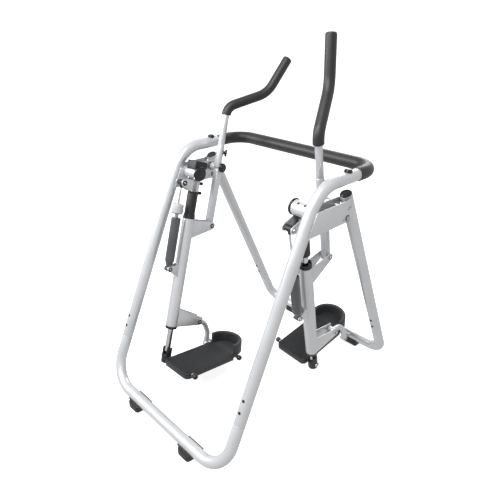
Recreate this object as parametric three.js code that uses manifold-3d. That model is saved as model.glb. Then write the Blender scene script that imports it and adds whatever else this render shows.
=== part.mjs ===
// Folding walker: a tube frame with two swinging legs, each with a sliding tube, a damper,
// a pedal on a linkage and a hand lever. Millimetres, Z up, Y forwards, X to the user's right.
// Every piece of one side is drawn for the right side and mirrored for the left.

import * as THREE from 'three';
import Module from 'manifold-3d';
import { mergeVertices } from 'three/addons/utils/BufferGeometryUtils.js';

const wasm = await Module();
wasm.setup();

// General

const clearance = 0.3;
const runningFit = 0.5;
const overrun = 5;
const weld = 0.0001;
const tubeSides = 16;
const freeBoreSides = 8;
const pinSides = 12;
const bendTurn = Math.PI / 8;
const turnSlack = 0.01;
const arcSteps = 6;
const cornerSteps = 3;

// Frame tubes

const halfTrack = 400;
const tubeRadius = 25;
const tubeWall = 2;
const hoopWall = 2.6;
const barHeight = 45;
const rearBend = 130;
const topBend = 150;
const frontBend = 70;
const crossbarBend = 90;
const topCornerBack = 4.3;
const crossbarRise = 102.7;
const stubReach = 229.3;
const crossbarRun = 43.8;
const crossbarStart = 77;
const crossbarWall = 2;
const foamThickness = 5.1;
const frontBarForward = 1130;
const legTopReach = 167.2;
const legTopRise = 39.4;
const rearSeam = 224;
const frontSeam = 165;
const spigotLength = 150;
const spigotRoot = 20;
const spigotWall = 2.2;
const screwRadius = 6;
const screwHead = 3.5;
const rearScrew = 53;
const frontScrew = 78;
const screwStep = 50;

// Hip, lever and fold axes

const axleGap = 3.7;
const hipForward = 497.7;
const hipHeight = 998.3;
const leverForward = 139;
const leanSlope = 0.063;
const foldForward = 150.3;
const foldDrop = 48.3;
const axleRadius = 15;
const leverAxleRadius = 10;
const axleShoulder = 5;

// Bracket and fold joint

const bracketThickness = 4;
const bracketRise = 24.7;
const bracketDrop = 65.3;
const bracketCorner = 8;
const bracketTopReach = 8.3;
const bracketNose = 20;
const lockPinRadius = 3;
const lockPinProud = 3;
const foldBoltRadius = 6;
const foldBoltHead = 11;
const foldBoltHeadHeight = 6;
const earRadius = 22;
const earInset = 0.5;

// Small frame pieces

const stubKnobInset = 60;
const stubKnobRadius = 15;
const stubKnobHeight = 10;
const plugDepth = 20;
const plugHead = 4;
const plugEdge = 0.6;
const plugDomeShares = [[1, 0.6], [0.7, 0.88], [0.3, 1]];
const stubDomeShares = [[0.5, 1], [0.85, 0.8], [1, 0.4]];
const rearFootInset = 42;
const rearFootWidth = 76;
const rearFootDepth = 72;
const rearFootHeight = 33;
const rearFootRim = 4;
const rearFootRimHeight = 3;
const frontFootInset = 70;
const frontFootWidth = 80;
const frontFootDepth = 54;
const frontFootHeight = 36;
const footCorner = 8;

// Counter on top of one hip housing

const counterInner = 27;
const counterOuter = 35;
const counterBack = 28;
const counterFront = 42;
const counterSink = 15;
const counterRise = 26;
const counterCorner = 4;
const counterBrow = 12;

// Hip housing

const barrelRadius = 30;
const barrelInner = 27;
const barrelOuter = 50;
const channelHalfWidth = 24;
const channelSheet = 4;
const channelFit = 0.5;
const channelBack = 22;
const channelBottom = 84;
const channelCorner = 12;
const damperBack = 70;
const damperEyeDrop = 50;
const earTipRadius = 17;
const pinRadius = 5;
const pinHeadRadius = 10;
const pinHead = 7;
const neckBoltRadius = 6;
const neckBoltProud = 22;
const neckBoltInward = 8;
const neckBoltUpper = 45;
const neckBoltLower = 76;
const capThickness = 14.5;
const capLip = 4;
const capDomeShares = [[1, 0.3], [0.9, 0.65], [0.7, 0.92], [0.42, 1]];

// Slide

const rodForward = 3;
const rodRadius = 14;
const rodTop = 40;
const rodSeat = 18;
const sleeveRadius = 25;
const sleeveTop = 85;
const sleeveBottom = 225;
const legTubeRadius = 29;
const legTubeWall = 3;
const legTubeLength = 545;
const collarHeight = 20;
const collarFlange = 5;
const collarPlug = 15;
const collarFit = 0.5;
const collarToe = 3;
const slideRest = 256.4;
const slideRate = 136.6;
const slideStop = 2.4;
const connectorRadius = 23.5;
const connectorLength = 79;
const connectorPin = 51;

// Leg tube plates

const plateInner = 22;
const plateSheet = 3;
const plateRoot = 14;
const slotLead = 5.5;
const leverPinDrop = 28;
const leverPlateTop = 6;
const leverPlateBottom = 92;
const leverPlateNose = 19;
const linkPinForward = 162;
const linkPinRise = 14;
const linkPlateHeight = 98;
const linkPlateNose = 17;
const linkPlateLift = 5;
const lugInner = 12.5;
const lugSheet = 4;
const lugRoot = 16;
const lugTop = 222;
const lugBottom = 286;
const lugNose = 14;
const damperPinDrop = 245;

// Link

const linkRadius = 13.5;
const linkBend = 40;
const linkCrownShares = [0.62, 0.16];
const linkKneeShares = [0.99, 0.55];
const linkEyeRadius = 15;
const linkFootRadius = 14;
const linkFootHalfWidth = 14;
const openPivotPlay = 4;

// Pedal

const pedalCentreGap = 46.4;
const pedalSideGap = 5.5;
const pedalBack = 35;
const pedalReach = 280;
const pedalFront = 365;
const pedalRearCorner = 22;
const pedalTop = 11;
const pedalDepth = 28.5;
const pedalTread = 4;
const pedalSkirt = 5;
const cupWall = 14;
const cupHeight = 53;
const cupBack = 262;
const rearPinRadius = 7;
const frontPinRadius = 6;
const knobRadius = 13.5;
const knobOut = 19;
const nutRadius = 12.5;
const nutHeight = 5;

// Hand lever

const hubRadius = 18;
const hubInner = 24;
const hubOuter = 50;
const armHalfWidth = 15;
const armWall = 2;
const armTail = 16;
const slotPlayForward = 7.2;
const slotPlayHeight = 1.8;
const slotRoundShare = 0.8;
const handleRadius = 15;
const handleWall = 2;
const handleInward = 4;
const handleBack = 10;
const handleStart = 20;
const socketWall = 1.7;
const socketTop = 105;
const handleKnee = 281;
const handleBend = 60;
const handleMidInward = 77;
const handleMidForward = 167;
const handleMidRise = 104;
const handleTipInward = 32;
const handleTipForward = 59;
const handleTipRise = 169;
const gripThickness = 6.7;
const gripLead = 3;
const gripEnd = 8;
const gripDomeShares = [[0, 0.97], [0.4, 0.97], [0.75, 0.8], [1, 0.4]];
const handleKnobRise = 71;
const knobStemRadius = 4;
const knobNeckRadius = 8;
const knobNeck = 7;
const knobHeadRadius = 15.5;
const knobHead = 8;

// Damper

const damperRodRadius = 4.5;
const damperOverlap = 43.6;
const damperBore = 5.2;
const damperEyeRadius = 13;
const damperEyeHalfWidth = 17;
const drumRadius = 26;
const drumTop = 63;
const drumBottom = 22;
const damperNeckRadius = 9;
const damperRadius = 22;
const damperTaper = 205;
const damperTaperLead = 17;
const damperEdge = 3;

// Angles in degrees: swing counts forwards, pedal turn counts toe up from its leg

const knobInward = 35;
const leftSwing = -18.2;
const rightSwing = 13.8;
const swingLimit = 24;
const pedalLevel = 0.614;
const pedalRateShare = 0.99107;
const linkMatchSwing = -16.5;

// Derived sizes

const lean = Math.atan(leanSlope);
const knobTurn = THREE.MathUtils.degToRad(knobInward);
const topCornerForward = hipForward - topCornerBack;
const crossbarHeight = hipHeight + crossbarRise;
const stubEndForward = hipForward + stubReach;
const crossbarForward = stubEndForward + crossbarRun + crossbarBend;
const legTopForward = hipForward + legTopReach;
const legTopHeight = hipHeight + legTopRise;
const tubeBore = tubeRadius - tubeWall;
const sheetInside = tubeRadius + clearance;
const sheetOutside = sheetInside + bracketThickness;
const rearCorner = [0, barHeight];
const topCorner = [topCornerForward, crossbarHeight];
const legTop = [legTopForward, legTopHeight];
const frontCorner = [frontBarForward, barHeight];
const foldPoint = [hipForward + foldForward, hipHeight - foldDrop];
const hipHalfSpacing = halfTrack - sheetOutside - axleGap - barrelOuter;
const rearFootSpacing = halfTrack - rearBend - rearFootWidth / 2 - rearFootInset;
const frontFootSpacing = halfTrack - frontBend - frontFootWidth / 2 - frontFootInset;
const crossbarRadius = tubeBore - clearance - clearance;
const foamBore = crossbarRadius + clearance;
const legTubeBore = legTubeRadius - legTubeWall;
const armLength = slideRest + leverPinDrop;
const leverPinForward = leverForward - slotLead;
const damperRodEnd = slideRest + damperOverlap;
const travel = slideRate * THREE.MathUtils.degToRad(swingLimit);
const connectorTop = slideRest + legTubeLength + travel + collarFlange + slideStop;
const connectorBottom = connectorTop + connectorLength;
const rodBottom = connectorTop + rodSeat;
const pedalPivotDrop = connectorTop + connectorPin;
const pedalInner = hipHalfSpacing - pedalPivotDrop * Math.sin(lean) - pedalCentreGap;
const pedalOuter = connectorRadius + pedalSideGap;
const pedalRate = (-pedalRateShare * slideRate) / pedalReach;
const linkPinDrop = legTubeLength - linkPinRise;
const linkPlateTop = legTubeLength - linkPlateHeight;
const linkPlateFoot = legTubeLength - linkPlateLift;
const damperBoreDepth = damperOverlap + travel + damperTaperLead;
const channelFront = rodForward + rodRadius + channelFit + channelSheet;

// Plane outlines

// Point a distance along the line from one plane point towards another.
function along(from, to, distance) {
  const length = Math.hypot(to[0] - from[0], to[1] - from[1]);
  return [0, 1].map((i) => from[i] + ((to[i] - from[i]) * distance) / length);
}

// Outline with its corners rounded; each corner is [first, second, radius].
function rounded(corners, steps = cornerSteps) {
  const outline = [];
  corners.forEach(([a, b, radius = 0], i) => {
    const corner = new THREE.Vector2(a, b);
    if (radius === 0) {
      outline.push([a, b]);
      return;
    }
    const before = corners[(i + corners.length - 1) % corners.length];
    const after = corners[(i + 1) % corners.length];
    const back = new THREE.Vector2(before[0], before[1]).sub(corner).normalize();
    const ahead = new THREE.Vector2(after[0], after[1]).sub(corner).normalize();
    const halfAngle = Math.acos(back.dot(ahead)) / 2;
    const middle = back.clone().add(ahead).setLength(radius / Math.sin(halfAngle)).add(corner);
    const reach = radius / Math.tan(halfAngle);
    const start = back.multiplyScalar(reach).add(corner).sub(middle);
    const end = ahead.multiplyScalar(reach).add(corner).sub(middle);
    const turn = Math.atan2(start.cross(end), start.dot(end));
    for (let step = 0; step <= steps; step += 1) {
      const spoke = start.clone().rotateAround(new THREE.Vector2(), (turn * step) / steps);
      outline.push([middle.x + spoke.x, middle.y + spoke.y]);
    }
  });
  return outline;
}

// Points round a centre from one angle to another.
function arc([a, b], radius, from, to, steps) {
  return Array.from({ length: steps + 1 }, (_, i) => {
    const angle = from + ((to - from) * i) / steps;
    return [a + radius * Math.cos(angle), b + radius * Math.sin(angle)];
  });
}

function circle(radius, sides) {
  return arc([0, 0], radius, 0, 2 * Math.PI, sides).slice(0, sides);
}

function rectangle(left, right, bottom, top, corner = 0) {
  return rounded([
    [left, bottom, corner], [right, bottom, corner], [right, top, corner], [left, top, corner],
  ]);
}

// Outline of a dome from shares of its height and radius.
function dome(shares, height, radius) {
  return shares.map(([rise, reach]) => [height * rise, radius * reach]);
}

function shapeOf(outline, holes = []) {
  const shape = new THREE.Shape(outline.map(([a, b]) => new THREE.Vector2(a, b)));
  shape.holes = holes.map((hole) => new THREE.Path(hole.map(([a, b]) => new THREE.Vector2(a, b))));
  return shape;
}

// Solids

// Shared points, no empty triangles and faces that look outwards.
function closed(source) {
  const bare = source.clone();
  bare.deleteAttribute('normal');
  bare.deleteAttribute('uv');
  const geometry = mergeVertices(bare, weld);
  const corners = geometry.index.array;
  const place = geometry.attributes.position;
  const point = (i) => new THREE.Vector3().fromBufferAttribute(place, i);
  const kept = [];
  let volume = 0;
  for (let i = 0; i < corners.length; i += 3) {
    const [a, b, c] = corners.slice(i, i + 3);
    if (a !== b && b !== c && c !== a) {
      kept.push([a, b, c]);
      volume += point(a).dot(point(b).cross(point(c)));
    }
  }
  geometry.setIndex(kept.flatMap(([a, b, c]) => (volume < 0 ? [a, c, b] : [a, b, c])));
  return geometry;
}

function solid(source) {
  const geometry = closed(source);
  return new wasm.Manifold(new wasm.Mesh({
    numProp: 3,
    vertProperties: Float32Array.from(geometry.attributes.position.array),
    triVerts: Uint32Array.from(geometry.index.array),
  }));
}

function surface(body) {
  const mesh = body.getMesh();
  const geometry = new THREE.BufferGeometry();
  geometry.setAttribute('position', new THREE.BufferAttribute(Float32Array.from(mesh.vertProperties), 3));
  geometry.setIndex(Array.from(mesh.triVerts));
  return geometry;
}

function fuse(...pieces) {
  return surface(pieces.map(solid).reduce((sum, piece) => sum.add(piece)));
}

function cut(piece, ...tools) {
  return surface(tools.map(solid).reduce((rest, tool) => rest.subtract(tool), solid(piece)));
}

// Turned solid on the Y axis from [along, radius] points, its ends closed on the axis.
function turned(profile, sides = tubeSides) {
  const first = profile[0][0];
  const last = profile[profile.length - 1][0];
  const outline = [[first, 0], ...profile, [last, 0]];
  return new THREE.LatheGeometry(outline.map(([y, radius]) => new THREE.Vector2(radius, y)), sides);
}

// Turned ring on the Y axis; the outline runs forwards outside and back inside.
function ring(profile, sides = tubeSides) {
  const outline = [...profile, profile[0]];
  return new THREE.LatheGeometry(outline.map(([y, radius]) => new THREE.Vector2(radius, y)), sides);
}

function pipe(from, to, radius, bore, sides = tubeSides) {
  return ring([[from, radius], [to, radius], [to, bore], [from, bore]], sides);
}

function rod(from, to, radius, sides = tubeSides) {
  return turned([[from, radius], [to, radius]], sides);
}

// Tool for a hole along X that runs past both faces.
function pinHole(halfWidth, radius, forward = 0, height = 0) {
  return alongX(rod(-halfWidth - overrun, halfWidth + overrun, radius, pinSides)).translate(0, forward, height);
}

// Rod with a head at both ends.
function bolt(halfLength, radius, headRadius, head, sides = pinSides) {
  return turned([
    [-halfLength, headRadius], [head - halfLength, headRadius], [head - halfLength, radius],
    [halfLength - head, radius], [halfLength - head, headRadius], [halfLength, headRadius],
  ], sides);
}

function alongX(geometry) {
  return geometry.rotateZ(-Math.PI / 2);
}

function alongZ(geometry) {
  return geometry.rotateX(Math.PI / 2);
}

// Turned piece aimed from a point in a direction.
function aimed(geometry, direction, start) {
  const turn = new THREE.Quaternion().setFromUnitVectors(new THREE.Vector3(0, 1, 0), direction);
  return geometry.applyQuaternion(turn).translate(start.x, start.y, start.z);
}

// Straight extrusion along Z from zero.
function extruded(outline, depth) {
  return new THREE.ExtrudeGeometry(shapeOf(outline), { depth, bevelEnabled: false });
}

// Plate across X between two planes, with its outline in (y, z).
function plate(outline, from, to) {
  const geometry = extruded(outline, to - from);
  const axes = new THREE.Matrix4().makeBasis(
    new THREE.Vector3(0, 1, 0),
    new THREE.Vector3(0, 0, 1),
    new THREE.Vector3(1, 0, 0),
  );
  return geometry.applyMatrix4(axes).translate(from, 0, 0);
}

// Block across Z between two heights, with its outline in (x, y).
function slab(outline, from, to) {
  return extruded(outline, to - from).translate(0, 0, from);
}

// Path of straight runs and bends, with stations only where the tube changes direction.
class BentPath extends THREE.Curve {
  constructor(corners, bend) {
    super();
    const points = corners.map(([x, y, z]) => new THREE.Vector3(x, y, z));
    const runs = points.slice(1).map((point, i) => point.clone().sub(points[i]).normalize());
    this.stations = [{ place: points[0], heading: runs[0] }];
    for (let i = 1; i < points.length - 1; i += 1) {
      const [before, after] = [runs[i - 1], runs[i]];
      const turn = before.angleTo(after);
      const inward = after.clone().addScaledVector(before, -Math.cos(turn)).normalize();
      const start = points[i].clone().addScaledVector(before, -bend * Math.tan(turn / 2));
      const steps = Math.ceil(turn / bendTurn - turnSlack);
      for (let step = 0; step <= steps; step += 1) {
        const angle = (turn * step) / steps;
        const place = start.clone()
          .addScaledVector(before, bend * Math.sin(angle))
          .addScaledVector(inward, bend * (1 - Math.cos(angle)));
        const heading = before.clone()
          .multiplyScalar(Math.cos(angle))
          .addScaledVector(inward, Math.sin(angle));
        this.stations.push({ place, heading });
      }
    }
    this.stations.push({ place: points[points.length - 1], heading: runs[runs.length - 1] });
  }

  station(share) {
    return this.stations[Math.round(share * (this.stations.length - 1))];
  }

  getPoint(share, target = new THREE.Vector3()) {
    return target.copy(this.station(share).place);
  }

  getPointAt(share, target = new THREE.Vector3()) {
    return this.getPoint(share, target);
  }

  getSpacedPoints() {
    return this.stations.map(({ place }) => place.clone());
  }

  getTangentAt(share, target = new THREE.Vector3()) {
    return target.copy(this.station(share).heading);
  }
}

// Bent tube or, with no bore, bent bar.
function bent(corners, bend, radius, bore = 0, sides = tubeSides, boreSides = sides) {
  const extrudePath = new BentPath(corners, bend);
  const steps = extrudePath.stations.length - 1;
  const holes = bore > 0 ? [circle(bore, boreSides)] : [];
  return new THREE.ExtrudeGeometry(shapeOf(circle(radius, sides), holes), { extrudePath, steps });
}

// Finishes

function finish(color, roughness, metalness) {
  return new THREE.MeshStandardMaterial({ color, roughness, metalness });
}

const silver = finish(0xc9cace, 0.38, 0.5);
const chrome = finish(0xd8dadd, 0.12, 1);
const steel = finish(0xa9abae, 0.3, 1);
const plastic = finish(0x1c1d1f, 0.5, 0);
const foam = finish(0x3a3a3c, 0.9, 0);
const tread = finish(0x3a3d3f, 0.65, 0);
const damperPaint = finish(0x17181a, 0.3, 0.2);
const drumPaint = finish(0x9a9c9f, 0.45, 0.4);

// Named mesh; the left one of a pair is the mirror image of the right one.
function piece(name, geometry, material, side = 1) {
  const placed = closed(side < 0 ? geometry.clone().scale(side, 1, 1) : geometry);
  placed.computeVertexNormals();
  const mesh = new THREE.Mesh(placed, material);
  mesh.name = name;
  return mesh;
}

const sides = [
  { label: 'left', side: -1, swing: THREE.MathUtils.degToRad(leftSwing) },
  { label: 'right', side: 1, swing: THREE.MathUtils.degToRad(rightSwing) },
];

// Frame

const upwards = new THREE.Vector3(0, topCorner[0] - rearCorner[0], topCorner[1] - rearCorner[1]).normalize();
const legwards = new THREE.Vector3(0, frontCorner[0] - legTop[0], frontCorner[1] - legTop[1]).normalize();
const rearSeamPoint = along(rearCorner, topCorner, rearSeam);
const frontSeamPoint = along(frontCorner, legTop, frontSeam);

// Floor hoop with a spigot at each end that plugs into the tube above the seam.
function hoop(corner, seamPoint, direction, bend) {
  const ends = [1, -1].map((side) => {
    const root = hoopWall / 2;
    const spigot = ring([
      [-spigotRoot, tubeRadius - root],
      [-clearance, tubeRadius - root],
      [-clearance, tubeBore - clearance],
      [spigotLength, tubeBore - clearance],
      [spigotLength, tubeBore - clearance - spigotWall],
      [-spigotRoot, tubeBore - clearance - spigotWall],
    ]);
    return aimed(spigot, direction, new THREE.Vector3(side * halfTrack, ...seamPoint));
  });
  const corners = [
    [halfTrack, ...seamPoint],
    [halfTrack, ...corner],
    [-halfTrack, ...corner],
    [-halfTrack, ...seamPoint],
  ];
  return fuse(bent(corners, bend, tubeRadius, tubeRadius - hoopWall), ...ends);
}

// Two screw heads on the rear of a tube, at distances above its seam.
function seamScrews(seamPoint, direction, first) {
  const backwards = new THREE.Vector3(0, -direction.z, direction.y);
  return [first, first + screwStep].map((reach) => {
    const screw = rod(tubeRadius - tubeWall / 2, tubeRadius + screwHead, screwRadius, pinSides);
    const start = new THREE.Vector3(halfTrack, ...seamPoint).addScaledVector(direction, reach);
    return aimed(screw, backwards, start);
  });
}

function upright() {
  const tube = bent([
    [halfTrack, ...along(rearCorner, topCorner, rearSeam + clearance)],
    [halfTrack, ...topCorner],
    [halfTrack, stubEndForward, crossbarHeight],
  ], topBend, tubeRadius, tubeBore);
  return fuse(tube, ...seamScrews(rearSeamPoint, upwards, rearScrew));
}

// Front leg with the solid ear that turns on the fold bolt between the bracket plates.
function frontLeg() {
  const length = Math.hypot(frontCorner[0] - legTop[0], frontCorner[1] - legTop[1]);
  const start = new THREE.Vector3(halfTrack, ...legTop);
  const reach = length - frontSeam - clearance;
  const tube = aimed(pipe(0, reach, tubeRadius, tubeBore), legwards, start);
  const forwards = [-legwards.z, legwards.y];
  const down = [legwards.y, legwards.z];
  const offset = (foldPoint[0] - legTop[0]) * forwards[0] + (foldPoint[1] - legTop[1]) * forwards[1];
  const at = (downReach, frontReach) => [0, 1].map((i) => (
    foldPoint[i] + down[i] * downReach + forwards[i] * frontReach
  ));
  const earAngle = Math.atan2(down[1], down[0]);
  const ear = plate([
    at(-earRadius, -offset),
    at(earRadius, -offset),
    ...arc(foldPoint, earRadius, earAngle, earAngle - Math.PI, arcSteps),
  ], halfTrack - tubeRadius + earInset, halfTrack + tubeRadius - earInset);
  const hole = pinHole(tubeRadius, foldBoltRadius + runningFit, ...foldPoint).translate(halfTrack, 0, 0);
  const hollow = aimed(rod(-overrun, length, tubeBore), legwards, start);
  const screws = seamScrews(frontSeamPoint, legwards.clone().negate(), frontScrew);
  return cut(fuse(tube, ear, ...screws), hole, hollow);
}

// Frame of one leaning side: X outwards along the hip axle, Y forwards.
const sideFrame = new THREE.Matrix4()
  .makeTranslation(hipHalfSpacing, hipForward, hipHeight)
  .multiply(new THREE.Matrix4().makeRotationY(lean));

// Two cut plates joined by the hip axle, the lever axle, the fold bolt and the lock pin.
function bracket() {
  const topLine = hipHeight + bracketRise;
  const bottomLine = hipHeight - bracketDrop;
  const rearEdge = (height) => rearCorner[0] + ((height - rearCorner[1]) * upwards.y) / upwards.z;
  const outline = rounded([
    [rearEdge(bottomLine), bottomLine],
    [foldPoint[0], bottomLine, bracketCorner],
    [foldPoint[0] + bracketNose, foldPoint[1] - bracketNose / 2, bracketCorner],
    [hipForward + leverForward + bracketTopReach, topLine],
    [rearEdge(topLine), topLine],
  ]);
  const sheets = [-sheetOutside, sheetInside].map((from) => (
    plate(outline, halfTrack + from, halfTrack + from + bracketThickness)
  ));
  const boltReach = sheetOutside + foldBoltHeadHeight;
  const boltHead = foldBoltHeadHeight + bracketThickness / 2;
  const foldBolt = alongX(bolt(boltReach, foldBoltRadius, foldBoltHead, boltHead))
    .translate(halfTrack, ...foldPoint);
  const axleEnd = (halfTrack + sheetOutside - bracketThickness / 2 - hipHalfSpacing) / Math.cos(lean);
  const innerSheet = (halfTrack - sheetOutside + bracketThickness / 2 - hipHalfSpacing) / Math.cos(lean);
  const axle = (radius, from, shoulder, forward) => alongX(turned([
    [-from, radius], [shoulder, radius], [shoulder, radius + axleShoulder],
    [innerSheet, radius + axleShoulder], [innerSheet, radius], [axleEnd, radius],
  ])).translate(0, forward, 0).applyMatrix4(sideFrame);
  const hipAxle = axle(axleRadius, barrelInner, barrelOuter + clearance, 0);
  const leverAxle = axle(leverAxleRadius, hubInner, hubOuter + clearance, leverForward);
  const lockReach = sheetOutside + lockPinProud;
  const lockBack = earRadius + lockPinRadius + clearance + clearance;
  const lockPin = alongX(rod(-lockReach, lockReach, lockPinRadius, pinSides))
    .translate(halfTrack, ...along(foldPoint, [rearEdge(bottomLine), bottomLine], lockBack));
  return fuse(...sheets, hipAxle, leverAxle, foldBolt, lockPin);
}

function crossbar(radius, bore, start, boreSides) {
  return bent([
    [halfTrack, start, crossbarHeight],
    [halfTrack, crossbarForward, crossbarHeight],
    [-halfTrack, crossbarForward, crossbarHeight],
    [-halfTrack, start, crossbarHeight],
  ], crossbarBend, radius, bore, tubeSides, boreSides);
}

function stubKnob() {
  const knob = alongZ(turned([
    [-stubKnobHeight, stubKnobRadius],
    ...dome(stubDomeShares, stubKnobHeight, stubKnobRadius),
  ])).translate(0, 0, tubeRadius);
  const tool = rod(-stubKnobRadius - overrun, stubKnobRadius + overrun, tubeRadius + clearance);
  return cut(knob, tool).translate(halfTrack, stubEndForward - stubKnobInset, crossbarHeight);
}

function legPlug() {
  const plug = turned([
    ...dome(plugDomeShares, -plugHead, tubeRadius - plugEdge),
    [-clearance, tubeRadius - plugEdge],
    [-clearance, tubeBore - clearance],
    [plugDepth, tubeBore - clearance],
  ]);
  return aimed(plug, legwards, new THREE.Vector3(halfTrack, ...legTop));
}

// Foot block with a trough for the floor tube; its rim, if any, runs round the top.
function foot(width, depth, height, rim, rimHeight, spacing, forward) {
  const layer = (edge, from) => {
    const [across, ahead] = [width / 2 + edge, depth / 2 + edge];
    return slab(rectangle(-across, across, -ahead, ahead, footCorner), from, height);
  };
  const block = layer(0, 0);
  const edge = layer(rim, height - rimHeight);
  const tool = alongX(rod(-width, width, tubeRadius + clearance)).translate(0, 0, barHeight);
  return cut(fuse(block, edge), tool).translate(spacing, forward, 0);
}

// Swinging leg: X outwards, Y forwards, Z up along the rod from the hip axis

function hipHousing() {
  const barrel = alongX(rod(-barrelInner, barrelOuter, barrelRadius));
  const halfWidth = channelHalfWidth;
  const inside = halfWidth - channelSheet;
  const channelTop = -axleRadius - channelSheet;
  const quarter = Math.PI / 2;
  const channel = slab(rounded([
    [-halfWidth, -channelBack], [-inside, -channelBack],
    [-inside, channelFront - channelSheet, channelCorner - channelSheet],
    [inside, channelFront - channelSheet, channelCorner - channelSheet],
    [inside, -channelBack], [halfWidth, -channelBack],
    [halfWidth, channelFront, channelCorner], [-halfWidth, channelFront, channelCorner],
  ]), -channelBottom, channelTop);
  const ears = [-halfWidth, inside].map((from) => plate([
    [0, -barrelRadius + channelSheet],
    ...arc([-damperBack, -damperEyeDrop], earTipRadius, quarter * 1.07, quarter * 2.78, arcSteps),
    [-channelBack, -channelBottom],
    [0, -channelBottom],
  ], from, from + channelSheet));
  const pin = alongX(bolt(halfWidth + pinHead, pinRadius, pinHeadRadius, pinHead))
    .translate(0, -damperBack, -damperEyeDrop);
  const bolts = [neckBoltUpper, neckBoltLower].map((drop) => (
    rod(channelFront - channelSheet / 2, channelFront + neckBoltProud, neckBoltRadius, pinSides)
      .translate(-neckBoltInward, 0, -drop)
  ));
  const bore = alongX(rod(-barrelInner - overrun, barrelOuter + overrun, axleRadius + runningFit));
  return cut(fuse(barrel, channel, ...ears, pin, ...bolts), bore);
}

// Domed cap on the inner end of an axle.
function domeCap(inner, radius) {
  return alongX(turned([...dome(capDomeShares, -capThickness, radius), [0, radius]]))
    .translate(-inner - clearance, 0, 0);
}

// Counter in a cover that sits astride the barrel of the hip housing.
function counter() {
  const bottom = barrelRadius - counterSink;
  const top = barrelRadius + counterRise;
  const block = plate(rounded([
    [-counterBack, bottom, counterCorner],
    [counterFront, bottom, counterCorner],
    [counterFront, top, counterBrow],
    [-counterBack, top, counterCorner],
  ]), -counterInner, counterOuter);
  const tool = alongX(rod(-counterInner - overrun, counterOuter + overrun, barrelRadius + clearance));
  return cut(block, tool);
}

function onRod(geometry) {
  return alongZ(geometry).translate(0, rodForward, 0);
}

function legTube() {
  const tube = onRod(rod(-legTubeLength, 0, legTubeRadius));
  const pairOf = (inner, sheet, outline) => [-inner - sheet, inner].map((from) => (
    plate(outline, from, from + sheet)
  ));
  const quarter = Math.PI / 2;
  const leverPlates = pairOf(plateInner, plateSheet, [
    [plateRoot, -leverPlateBottom],
    ...arc([leverPinForward, -leverPinDrop], leverPlateNose, -quarter * 0.7, quarter, cornerSteps + 1),
    [plateRoot, -leverPlateTop],
  ]);
  const linkPlates = pairOf(plateInner, plateSheet, [
    [plateRoot, -linkPlateFoot],
    ...arc([linkPinForward, -linkPinDrop], linkPlateNose, -quarter, quarter * 0.75, cornerSteps + 1),
    [plateRoot, -linkPlateTop],
  ]);
  const lugPlates = pairOf(lugInner, lugSheet, [
    [-lugRoot, -lugTop],
    ...arc([-damperBack, -damperPinDrop], lugNose, quarter * 0.8, quarter * 3.4, cornerSteps + 2),
    [-lugRoot, -lugBottom],
  ]);
  const crossPin = (inner, sheet, forward, drop) => (
    alongX(bolt(inner + sheet + pinHead, pinRadius, pinHeadRadius, pinHead)).translate(0, forward, -drop)
  );
  const bore = onRod(rod(-legTubeLength - overrun, overrun, legTubeBore));
  return cut(fuse(
    tube,
    ...leverPlates,
    ...linkPlates,
    ...lugPlates,
    crossPin(plateInner, plateSheet, leverPinForward, leverPinDrop),
    crossPin(plateInner, plateSheet, linkPinForward, linkPinDrop),
    crossPin(lugInner, lugSheet, -damperBack, damperPinDrop),
  ), bore);
}

function topCollar() {
  const bore = sleeveRadius + collarFit;
  return onRod(ring([
    [clearance, legTubeRadius],
    [collarHeight - collarFlange, legTubeRadius - channelSheet / 2],
    [collarHeight, legTubeRadius - channelSheet / 2],
    [collarHeight, bore],
    [clearance, bore],
  ]));
}

function bottomCollar() {
  const foot = -legTubeLength - clearance;
  const bore = rodRadius + runningFit;
  return onRod(ring([
    [foot - collarFlange, legTubeRadius - collarToe],
    [foot, legTubeRadius],
    [foot, legTubeBore - clearance],
    [foot + collarPlug, legTubeBore - clearance],
    [foot + collarPlug, bore],
    [foot - collarFlange, bore],
  ]));
}

function connector() {
  const body = onRod(rod(-connectorBottom, -connectorTop, connectorRadius));
  const socket = onRod(rod(-rodBottom - clearance, -connectorTop + overrun, rodRadius + clearance));
  const hole = pinHole(connectorRadius, rearPinRadius + runningFit, rodForward, -pedalPivotDrop);
  return cut(body, socket, hole);
}

// How far the leg tube hangs below the hip axis, and the pedal's turn, at a swing in radians.
function slideAt(swing) {
  return slideRest + slideRate * swing;
}

function pedalTurnAt(swing) {
  return THREE.MathUtils.degToRad(pedalLevel) + pedalRate * swing;
}

// Curved link in (y, z) from the link pin; its lower eye matches the front pedal pin at one swing.
const matchSwing = THREE.MathUtils.degToRad(linkMatchSwing);
const linkFoot = [
  rodForward + pedalReach * Math.cos(pedalTurnAt(matchSwing)) - linkPinForward,
  pedalReach * Math.sin(pedalTurnAt(matchSwing)) - pedalPivotDrop + slideAt(matchSwing) + linkPinDrop,
];

function link() {
  const bar = bent([
    [0, 0, 0],
    [0, ...linkFoot.map((reach, i) => reach * linkCrownShares[i])],
    [0, ...linkFoot.map((reach, i) => reach * linkKneeShares[i])],
    [0, ...linkFoot],
  ], linkBend, linkRadius, 0, pinSides);
  const eyeHalf = plateInner - clearance - clearance;
  const eye = alongX(rod(-eyeHalf, eyeHalf, linkEyeRadius));
  const eyeBore = pinHole(eyeHalf, pinRadius + runningFit);
  const footEye = alongX(rod(-linkFootHalfWidth, linkFootHalfWidth, linkFootRadius)).translate(0, ...linkFoot);
  const footBore = alongX(rod(
    -linkFootRadius - overrun,
    linkFootRadius + overrun,
    frontPinRadius + openPivotPlay,
    tubeSides,
  )).translate(0, ...linkFoot);
  return cut(fuse(bar, eye, footEye), eyeBore, footBore);
}

// Pedal: origin on its rear pin, Y towards the toe

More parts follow.
